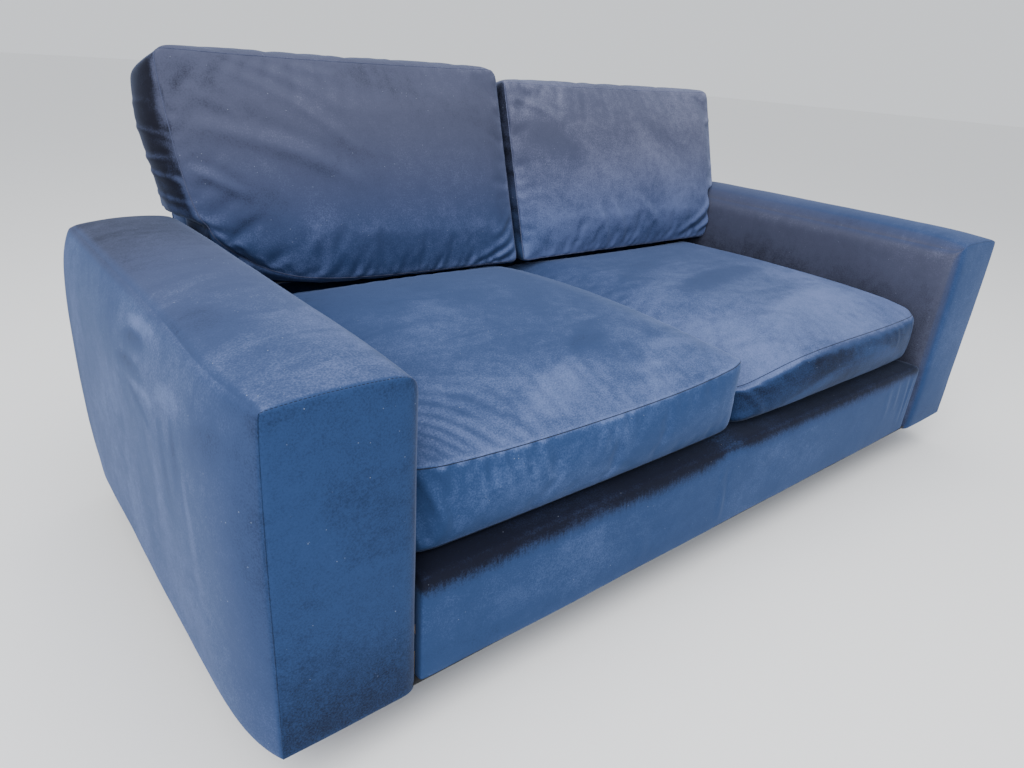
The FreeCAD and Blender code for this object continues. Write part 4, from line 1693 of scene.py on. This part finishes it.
@dataclass
class FixedBack:
    """The padded back behind the loose cushions, and the panel over its rear."""

    bench: Bench
    top_depth: float = 0.078
    rake: float = BACK_RAKE
    cell: float = 0.016
    depth_scale: float = 0.1
    corner: float = 0.020
    padding_round: float = 0.018
    cloth_round: float = 0.0012
    padding_inset: float = 0.0036
    cloth_inset: float = 0.0035
    flap: Share = (0.0004, 0.0018)

    def build(self) -> None:
        """Model, finish and set both parts."""
        low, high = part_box("back_cover")
        rear_low, rear_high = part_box("back_rear_cover")
        arm_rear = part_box("arm_cover_left")[1].y
        self.top = high.z
        self.top_y = high.y
        self.slope = (high.y - arm_rear) / (high.z - rear_low.z)
        rear = self.rear_face(self.padding_inset)
        padded = self.panel("back_upholstery", low, high, self.front_face, rear, self.padding_round)
        self.finish(padded, ("back_cover", "back_padding"), 0.95)
        inside, outside = self.rear_face(self.cloth_inset), self.rear_face(0.0)
        cloth = self.panel("back_rear_upholstery", rear_low, rear_high, inside, outside, self.cloth_round)
        self.finish(cloth, ("back_rear_cover",), 0.95)
        for side, edge in ((-1, rear_low.x), (1, rear_high.x)):
            ends = sorted(edge + side * away for away in self.flap)
            foot = Vector((ends[0], 0, rear_low.z + 0.001))
            head = Vector((ends[1], 0, low.z + 0.004))
            name = f"back_side_{'left' if side < 0 else 'right'}_cloth"
            front_face = self.flat_face(arm_rear + 0.001)
            rear_face = self.rear_face(self.flap[0])
            flap = self.panel(name, foot, head, front_face, rear_face, self.cloth_round / 2)
            shaded_smooth(flap)
            paint(flap, NAP_AND_SHADE, 0.42)
            self.bench.fit(flap, "sofa_frame", "velvet", VELVET)

    def front_face(self, z: np.ndarray) -> np.ndarray:
        """Where the raked front face lies at each height."""
        return self.top_y - self.top_depth - (self.top - z) * math.tan(self.rake)

    def flat_face(self, y: float) -> Callable[[np.ndarray], np.ndarray]:
        """An upright face."""
        return lambda z: np.full(len(z), y)

    def rear_face(self, inward: float) -> Callable[[np.ndarray], np.ndarray]:
        """Where the sloping rear face lies at each height, moved inward."""
        return lambda z: self.top_y - inward - (self.top - z) * self.slope

    def panel(
        self,
        name: str,
        low: Vector,
        high: Vector,
        front: Callable[[np.ndarray], np.ndarray],
        rear: Callable[[np.ndarray], np.ndarray],
        round_off: float,
    ) -> bpy.types.Object:
        """Model a panel between two sloping faces.

        Args:
            name: The piece's name.
            low: Its low corner.
            high: Its high corner.
            front: Its front face.
            rear: Its rear face.
            round_off: The rounding of its edges.

        Returns:
            The panel.
        """
        steps = (round_off * 0.15, round_off * 0.4, round_off * 0.8) if round_off > 0.002 else (0.0012,)
        thick = self.depth_scale
        xs = stations(low.x, high.x, self.cell, near_ends(low.x, high.x, steps))
        ys = stations(0.0, thick, thick / 3, near_ends(0.0, thick, (thick * 0.1,)))
        zs = stations(low.z, high.z, self.cell, near_ends(low.z, high.z, steps))
        piece = gridded_block(name, (xs, ys, zs))
        rest = rest_of(piece)
        deep = min(round_off, thick * 0.3)
        points = rounded(rest, (round_off, deep, round_off * 0.5), (round_off, deep * 0.2, round_off))
        if high.x - low.x > 0.1:
            for sign in (-1, 1):
                round_edge(points, (rest.min(0), rest.max(0)), {0: sign, 2: 1}, self.corner)
        share = points[:, 1] / thick
        z = points[:, 2]
        points[:, 1] = front(z) + (rear(z) - front(z)) * share
        move_to(piece, points)
        refined(piece, 1)
        return piece

    def finish(self, piece: bpy.types.Object, nodes: Sequence[str], fill: float) -> None:
        """Pad, shade, paint and set one part."""
        rest = rest_of(piece)
        uneven = lumps(rest, 0.2, 31.0) * 0.0010
        points = coordinates(piece)
        points[:, 1] += uneven
        move_to(piece, points)
        shaded_smooth(piece)
        down = smoothstep(0.0, 1.0, -across(rest)[:, 2])
        # Painted shade: darker and less grey towards the bottom, behind the cushions.
        paint(piece, NAP_AND_SHADE, 0.48 - 0.06 * down)
        paint(piece, PAINTED_SHEEN, 0.25 - 0.15 * down)
        self.bench.fit(piece, "sofa_frame", "velvet", VELVET, nodes)


@dataclass
class Foot:
    """A tapered, turned wooden foot."""

    bench: Bench
    node: str
    sides: int = 48
    lower_share: float = 17 / 26
    easing: float = 0.0022
    end_slice: float = 0.001

    def build(self) -> None:
        """Model, finish and set the foot."""
        low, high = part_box(self.node)
        centre = (low + high) / 2
        top_radius = (high.x - low.x) / 2
        deselect()
        bpy.ops.mesh.primitive_cylinder_add(
            vertices=self.sides, radius=top_radius, depth=high.z - low.z, location=centre
        )
        piece = added(f"{self.node}_turned")
        self.taper(piece, low.z)
        eased(piece, self.easing, 3)
        self.bench.fit(piece, "sofa_frame", "leg_wood", LEG_WOOD, [self.node])

    def taper(self, piece: bpy.types.Object, floor: float) -> None:
        """Draw in the lower end of the foot."""
        bpy.ops.object.mode_set(mode="EDIT")
        bpy.ops.mesh.select_all(action="DESELECT")
        mesh = bmesh.from_edit_mesh(piece.data)
        for vertex in mesh.verts:
            vertex.select_set(vertex.co.z < floor + self.end_slice)
        mesh.select_flush(True)
        bmesh.update_edit_mesh(piece.data)
        bpy.ops.transform.resize(value=(self.lower_share, self.lower_share, 1))
        bpy.ops.object.mode_set(mode="OBJECT")


class ZipFastener:
    """A zip: two rows of teeth on its tape, and a slider with a pull."""

    def __init__(self, bench: Bench, kind: str, hand: str) -> None:
        """Choose the cushion whose zip is modelled."""
        self.bench = bench
        self.kind = kind
        self.hand = hand

    def build(self) -> None:
        """Model the teeth and the slider."""
        prefix = "seat" if self.kind == "seat" else "back_cushion"
        tape_low, tape_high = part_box(f"{prefix}_zip_{self.hand}")
        slider_low, slider_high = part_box(f"{prefix}_zip_slider_{self.hand}")
        out = Vector((0, 1, 0)) if self.kind == "seat" else Vector((0, 0, -1))
        body = f"{self.kind}_cushion_{self.hand}"
        centre = (tape_low + tape_high) / 2
        surface = tape_high.y if self.kind == "seat" else tape_low.z
        self.teeth(f"{body}_zip_teeth", tape_low.x, tape_high.x, centre, surface, out, body)
        self.slider(f"{prefix}_zip_slider_{self.hand}", slider_low, slider_high, out)

    def teeth(
        self, name: str, start: float, end: float, centre: Vector, surface: float, out: Vector, body: str
    ) -> None:
        """Model one tooth and copy it along both edges of the tape."""
        pitch, reach, thick, stagger, margin = 0.0030, 0.0022, 0.0007, 0.0011, 0.002
        deselect()
        bpy.ops.mesh.primitive_cube_add(size=1, location=(0, 0, 0), scale=(pitch * 0.62, reach, thick))
        tooth = added("tooth")
        eased(tooth, 0.0002, 1)
        along = Vector((1, 0, 0))
        side = out.cross(along)
        turn = Matrix((along, side, out)).transposed().to_4x4()
        places = []
        for index in range(int((end - start - 2 * margin) / pitch)):
            place = Vector((start + margin + (index + 0.5) * pitch, centre.y, centre.z))
            if out.y:
                place.y = surface + thick / 2
            else:
                place.z = surface - thick / 2
            away = stagger if index % 2 else -stagger
            places.append(Matrix.Translation(place + side * away) @ turn)
        piece = repeated(name, tooth, places)
        self.bench.fit(piece, body, "zip_tape", ZIP_METAL)

    def slider(self, node: str, low: Vector, high: Vector, out: Vector) -> None:
        """Model the slider's body and its pull."""
        rise, length, pull_thick, pull_width, pull_sink = 0.0009, 0.011, 0.0014, 0.005, 0.0009
        low = low + Vector((0, rise if out.y else 0, 0))
        high = high - Vector((0, 0, 0 if out.y else rise))
        centre = (low + high) / 2
        body_x = (high.x - length / 2) if self.hand == "right" else (low.x + length / 2)
        deselect()
        bpy.ops.mesh.primitive_cube_add(
            size=1, location=(body_x, centre.y, centre.z), scale=(length, high.y - low.y, high.z - low.z)
        )
        piece = added(f"{node}_body")
        eased(piece, 0.0012, 3)
        self.bench.fit(piece, self.rider(), "zip_metal", ZIP_METAL, [node])
        pull_length = (high.x - low.x) - length
        inward = -1 if self.hand == "right" else 1
        pull_x = body_x + inward * (length / 2 + pull_length / 2)
        if out.y:
            place, size = (pull_x, low.y + pull_sink, centre.z), (pull_length, pull_thick, pull_width)
        else:
            place, size = (pull_x, centre.y, high.z - pull_sink), (pull_length, pull_width, pull_thick)
        bpy.ops.mesh.primitive_cube_add(size=1, location=place, scale=size)
        pull = added(f"{node}_pull")
        eased(pull, 0.0005, 3)
        self.bench.fit(pull, self.rider(), "zip_metal", ZIP_METAL)

    def rider(self) -> str:
        """The body that the slider rides on."""
        return f"{self.kind}_zip_slider_{self.hand}_body"


@dataclass
class Studio:
    """The plain pale floor, soft light and camera."""

    eye: Place = (-1.1841, -1.1839, 0.9217)
    yaw: float = math.radians(40.468)
    pitch: float = math.radians(24.030)
    roll: float = math.radians(4.316)
    lens: float = 25.447

    def build(self) -> None:
        """Set up the studio."""
        self.floor()
        self.camera()
        self.lights()

    def floor(self) -> None:
        """Lay the floor."""
        deselect()
        bpy.ops.mesh.primitive_plane_add(size=60)
        floor = added("studio_floor")
        made = bpy.data.materials.new("pale_floor")
        made.use_nodes = True
        surface = made.node_tree.nodes["Principled BSDF"]
        surface.inputs["Base Color"].default_value = (0.90, 0.90, 0.90, 1)
        surface.inputs["Roughness"].default_value = 0.9
        floor.data.materials.append(made)

    def camera(self) -> None:
        """Set the camera at its viewing angle."""
        ahead = Vector(
            (
                math.sin(self.yaw) * math.cos(self.pitch),
                math.cos(self.yaw) * math.cos(self.pitch),
                -math.sin(self.pitch),
            )
        )
        level = Vector((math.cos(self.yaw), -math.sin(self.yaw), 0))
        upright = level.cross(ahead)
        right = level * math.cos(self.roll) + upright * math.sin(self.roll)
        up = upright * math.cos(self.roll) - level * math.sin(self.roll)
        data = bpy.data.cameras.new("camera")
        data.lens = self.lens
        data.sensor_width = 36
        data.clip_start = 0.05
        camera = bpy.data.objects.new("camera", data)
        bpy.context.collection.objects.link(camera)
        turn = Matrix((right, up, -ahead)).transposed().to_4x4()
        camera.matrix_world = Matrix.Translation(Vector(self.eye)) @ turn
        bpy.context.scene.camera = camera

    def lights(self) -> None:
        """Hang one large soft lamp and a weaker one, in an even pale room."""
        world = bpy.data.worlds.new("studio")
        world.use_nodes = True
        background = world.node_tree.nodes["Background"]
        background.inputs["Color"].default_value = (0.93, 0.96, 1.0, 1)
        background.inputs["Strength"].default_value = 1.0
        bpy.context.scene.world = world
        self.lamp("window", (-2.6, -1.6, 2.6), (0, 0, 0.4), 2.4, 120)
        self.lamp("ceiling", (0.4, -0.4, 3.2), (0, 0, 0.4), 3.0, 60)

    def lamp(self, name: str, place: Place, target: Place, size: float, power: float) -> None:
        """Hang one square soft lamp that faces a point."""
        data = bpy.data.lights.new(name, "AREA")
        data.size = size
        data.energy = power
        lamp = bpy.data.objects.new(name, data)
        lamp.location = place
        lamp.rotation_euler = (Vector(target) - Vector(place)).to_track_quat("-Z", "Y").to_euler()
        bpy.context.collection.objects.link(lamp)


def dress_frame(shop: Workshop) -> None:
    """Give every CAD node the finish of its material slot."""
    slots = {entry["node"]: entry["material_slot"] for entry in frame["record"]["subparts"]}
    for name, node in frame["nodes"].items():
        node.data.materials.clear()
        node.data.materials.append(SLOT_FINISHES[slots[name]].material(shop))


CORNER_ARCS = [
    Fold((0.050, 0.0), (0.0, 0.050), 0.0016, 0.0045, -0.006),
    Fold((0.080, 0.0), (0.0, 0.080), 0.0020, 0.0050, -0.009),
    Fold((0.110, 0.0), (0.0, 0.105), 0.0024, 0.0055, -0.012),
    Fold((0.145, 0.0), (0.0, 0.130), 0.0026, 0.0060, -0.015),
    Fold((0.180, 0.0), (0.0, 0.160), 0.0024, 0.0070, -0.018),
    Fold((0.225, 0.0), (0.02, 0.185), 0.0020, 0.0080, -0.020),
    Fold((0.275, 0.0), (0.06, 0.200), 0.0016, 0.0090, -0.020),
    Fold((0.330, 0.0), (0.12, 0.210), 0.0013, 0.0100, -0.020),
]
LEFT_SEAT = SeatForm(
    front_round=0.010,
    seam_ends=(-0.004, -0.010, 0.003),
    inner_droop=0.0,
    bulge=0.020,
    crown=0.022,
    arch=0.022,
    slack=0.010,
    tone_top=0.66,
    tone_front=0.55,
    painted_sheen_top=0.22,
    painted_sheen_front=0.0,
    folds_top=CORNER_ARCS,
    folds_front=[
        *puckers((0.03, 1.0), (0.30, 1.0), 11, (0.004, -0.42), 0.0032, 4),
        *puckers((0.44, 1.0), (0.56, 1.0), 4, (0.0, -0.45), 0.0022, 5),
        Fold((0.015, 0.95), (0.075, 0.22), 0.0055, 0.009, 0.004),
        Fold((0.0, 0.55), (0.030, 0.05), 0.0050, 0.008, -0.004),
    ],
    strokes_top=[
        Stroke((0.62, 0.22), (0.10, 0.045), 35, -0.16),
        Stroke((0.45, 0.12), (0.12, 0.04), 20, 0.10),
        Stroke((0.75, 0.10), (0.12, 0.05), 30, 0.10),
        Stroke((0.30, 0.45), (0.16, 0.08), 50, 0.06),
        Stroke((0.70, 0.55), (0.15, 0.06), 60, -0.06),
    ],
    strokes_front=[
        Stroke((0.85, 0.5), (0.14, 0.07), 0, 0.08),
        # Painted highlights: these two rows are light streaks along the gathers under the front's top seam.
        *(
            Stroke((0.05 + 0.030 * step, 0.80 - 0.06 * (step % 2)), (0.007, 0.045), 2 * step, 0.07)
            for step in range(9)
        ),
        *(Stroke((0.44 + 0.028 * step, 0.78), (0.007, 0.035), 0, 0.06) for step in range(4)),
    ],
)
RIGHT_SEAT = SeatForm(
    front_round=0.032,
    seam_ends=(-0.016, -0.010, -0.020),
    inner_droop=0.048,
    bulge=0.024,
    crown=0.016,
    arch=0.004,
    slack=0.003,
    tone_top=0.79,
    tone_front=0.20,
    painted_sheen_top=0.25,
    painted_sheen_front=0.10,
    folds_top=[
        Fold((0.06, 0.10), (0.30, 0.03), 0.0020, 0.012, 0.01),
        Fold((0.10, 0.22), (0.42, 0.10), 0.0016, 0.016, 0.01),
    ],
    folds_front=[
        Fold((0.02, 0.85), (0.10, 0.05), 0.0026, 0.012, 0.006),
        Fold((0.93, 0.95), (0.95, 0.15), 0.0016, 0.008),
        Fold((0.80, 0.95), (0.79, 0.45), 0.0010, 0.008),
    ],
    strokes_top=[
        Stroke((0.42, 0.45), (0.17, 0.06), 12, -0.22),
        Stroke((0.55, 0.18), (0.22, 0.06), 5, 0.10),
        Stroke((0.25, 0.62), (0.16, 0.06), 25, -0.10),
        Stroke((0.80, 0.30), (0.10, 0.05), 70, 0.06),
    ],
    strokes_front=[
        Stroke((0.30, 0.35), (0.14, 0.035), 20, 0.18),
        Stroke((0.70, 0.60), (0.12, 0.03), -15, 0.12),
    ],
)
LEFT_BACK = BackForm(
    height=0.478,
    gap=0.012,
    crown=0.036,
    tuck=(0.225, 0.160),
    tuck_depth=0.034,
    corner=0.040,
    side_bulge=0.024,
    proud=0.012,
    tone=0.47,
    folds_front=[
        Fold((0.09, 0.95), (0.46, 0.58), 0.0045, 0.014, 0.018),
        Fold((0.19, 0.96), (0.46, 0.74), 0.0035, 0.013, 0.010),
        Fold((0.0, 0.70), (0.46, 0.44), 0.0060, 0.020, 0.020),
        Fold((0.01, 0.52), (0.14, 0.40), 0.0040, 0.013, 0.006),
        Fold((0.30, 0.96), (0.52, 0.86), 0.0020, 0.012, 0.006),
        Fold((0.04, 0.84), (0.20, 0.66), 0.0025, 0.012, 0.008),
        Fold((1.0, 0.12), (0.86, 0.02), 0.0040, 0.010, 0.004),
        Fold((1.0, 0.20), (0.80, 0.03), 0.0030, 0.010, 0.006),
        Fold((0.99, 0.28), (0.88, 0.16), 0.0022, 0.009, 0.004),
        *puckers((0.40, 0.0), (0.95, 0.0), 14, (0.02, 0.16), 0.0030, 8),
        *puckers((0.93, 1.0), (0.99, 1.0), 3, (-0.03, -0.10), 0.0020, 9),
    ],
    folds_side=[
        Fold((0.0, 0.64), (1.0, 0.74), 0.0020, 0.006, 0.004),
        Fold((0.0, 0.56), (1.0, 0.62), 0.0024, 0.006, -0.004),
        Fold((0.0, 0.46), (1.0, 0.55), 0.0024, 0.006, 0.004),
        Fold((0.0, 0.36), (1.0, 0.45), 0.0020, 0.006, 0.003),
        Fold((0.1, 0.78), (0.9, 0.82), 0.0014, 0.007, 0.003),
    ],
    strokes=[
        Stroke((0.18, 0.42), (0.09, 0.06), -30, -0.10),
        Stroke((0.55, 0.75), (0.16, 0.10), -25, 0.07),
        Stroke((0.10, 0.88), (0.05, 0.04), -40, -0.07),
    ],
)
RIGHT_BACK = BackForm(
    height=0.452,
    gap=0.006,
    crown=0.040,
    tuck=(0.045, 0.045),
    tuck_depth=0.012,
    corner=0.012,
    side_bulge=0.018,
    proud=0.030,
    tone=0.64,
    folds_front=[
        *puckers((0.02, 1.0), (0.30, 1.0), 8, (0.035, -0.11), 0.0024, 14),
        *puckers((0.30, 1.0), (0.95, 1.0), 9, (0.02, -0.08), 0.0012, 15),
        Fold((0.02, 0.90), (0.20, 0.74), 0.0040, 0.014, 0.010),
        Fold((0.30, 0.30), (0.36, 0.02), 0.0050, 0.012, 0.004),
        Fold((0.36, 0.34), (0.44, 0.04), 0.0042, 0.012, 0.005),
        Fold((0.46, 0.36), (0.60, 0.14), 0.0024, 0.014, 0.006),
        Fold((1.0, 0.36), (0.72, 0.05), 0.0050, 0.014, 0.012),
        Fold((1.0, 0.22), (0.84, 0.05), 0.0040, 0.010, 0.006),
        Fold((1.0, 0.80), (0.93, 0.76), 0.0024, 0.007),
        Fold((1.0, 0.50), (0.94, 0.47), 0.0024, 0.007),
        *puckers((0.06, 0.0), (0.55, 0.0), 9, (0.01, 0.14), 0.0028, 16),
        *puckers((0.75, 0.0), (0.99, 0.0), 5, (0.02, 0.14), 0.0030, 17),
    ],
    folds_side=[],
    strokes=[
        Stroke((0.12, 0.72), (0.12, 0.05), -20, -0.12),
        Stroke((0.55, 0.58), (0.22, 0.12), 0, 0.07),
        Stroke((0.92, 0.45), (0.05, 0.12), 0, -0.05),
    ],
)


def main() -> None:
    """Build the sofa's visible pieces in order."""
    logging.basicConfig(level=logging.INFO, format="%(message)s", stream=sys.stdout)
    shop = Workshop()
    bench = Bench(shop)
    dress_frame(shop)
    for side in (-1, 1):
        if side < 0:
            Arm(bench, side, LEFT_ARM, strokes_outer=LEFT_OUTER_STROKES, strokes_top=LEFT_TOP_STROKES).build()
        else:
            Arm(bench, side, RIGHT_ARM, seam_x=0.966).build()
    BaseFront(bench).build()
    for side in (-1, 1):
        SeatCushion(bench, side, LEFT_SEAT if side < 0 else RIGHT_SEAT).build()
    for side in (-1, 1):
        BackCushion(bench, side, LEFT_BACK if side < 0 else RIGHT_BACK).build()
    FixedBack(bench).build()
    for end in ("front", "rear"):
        for hand in ("left", "right"):
            Foot(bench, f"foot_{end}_{hand}").build()
    for kind in ("seat", "back"):
        for hand in ("left", "right"):
            ZipFastener(bench, kind, hand).build()
    Studio().build()


if __name__ == "__main__":
    main()
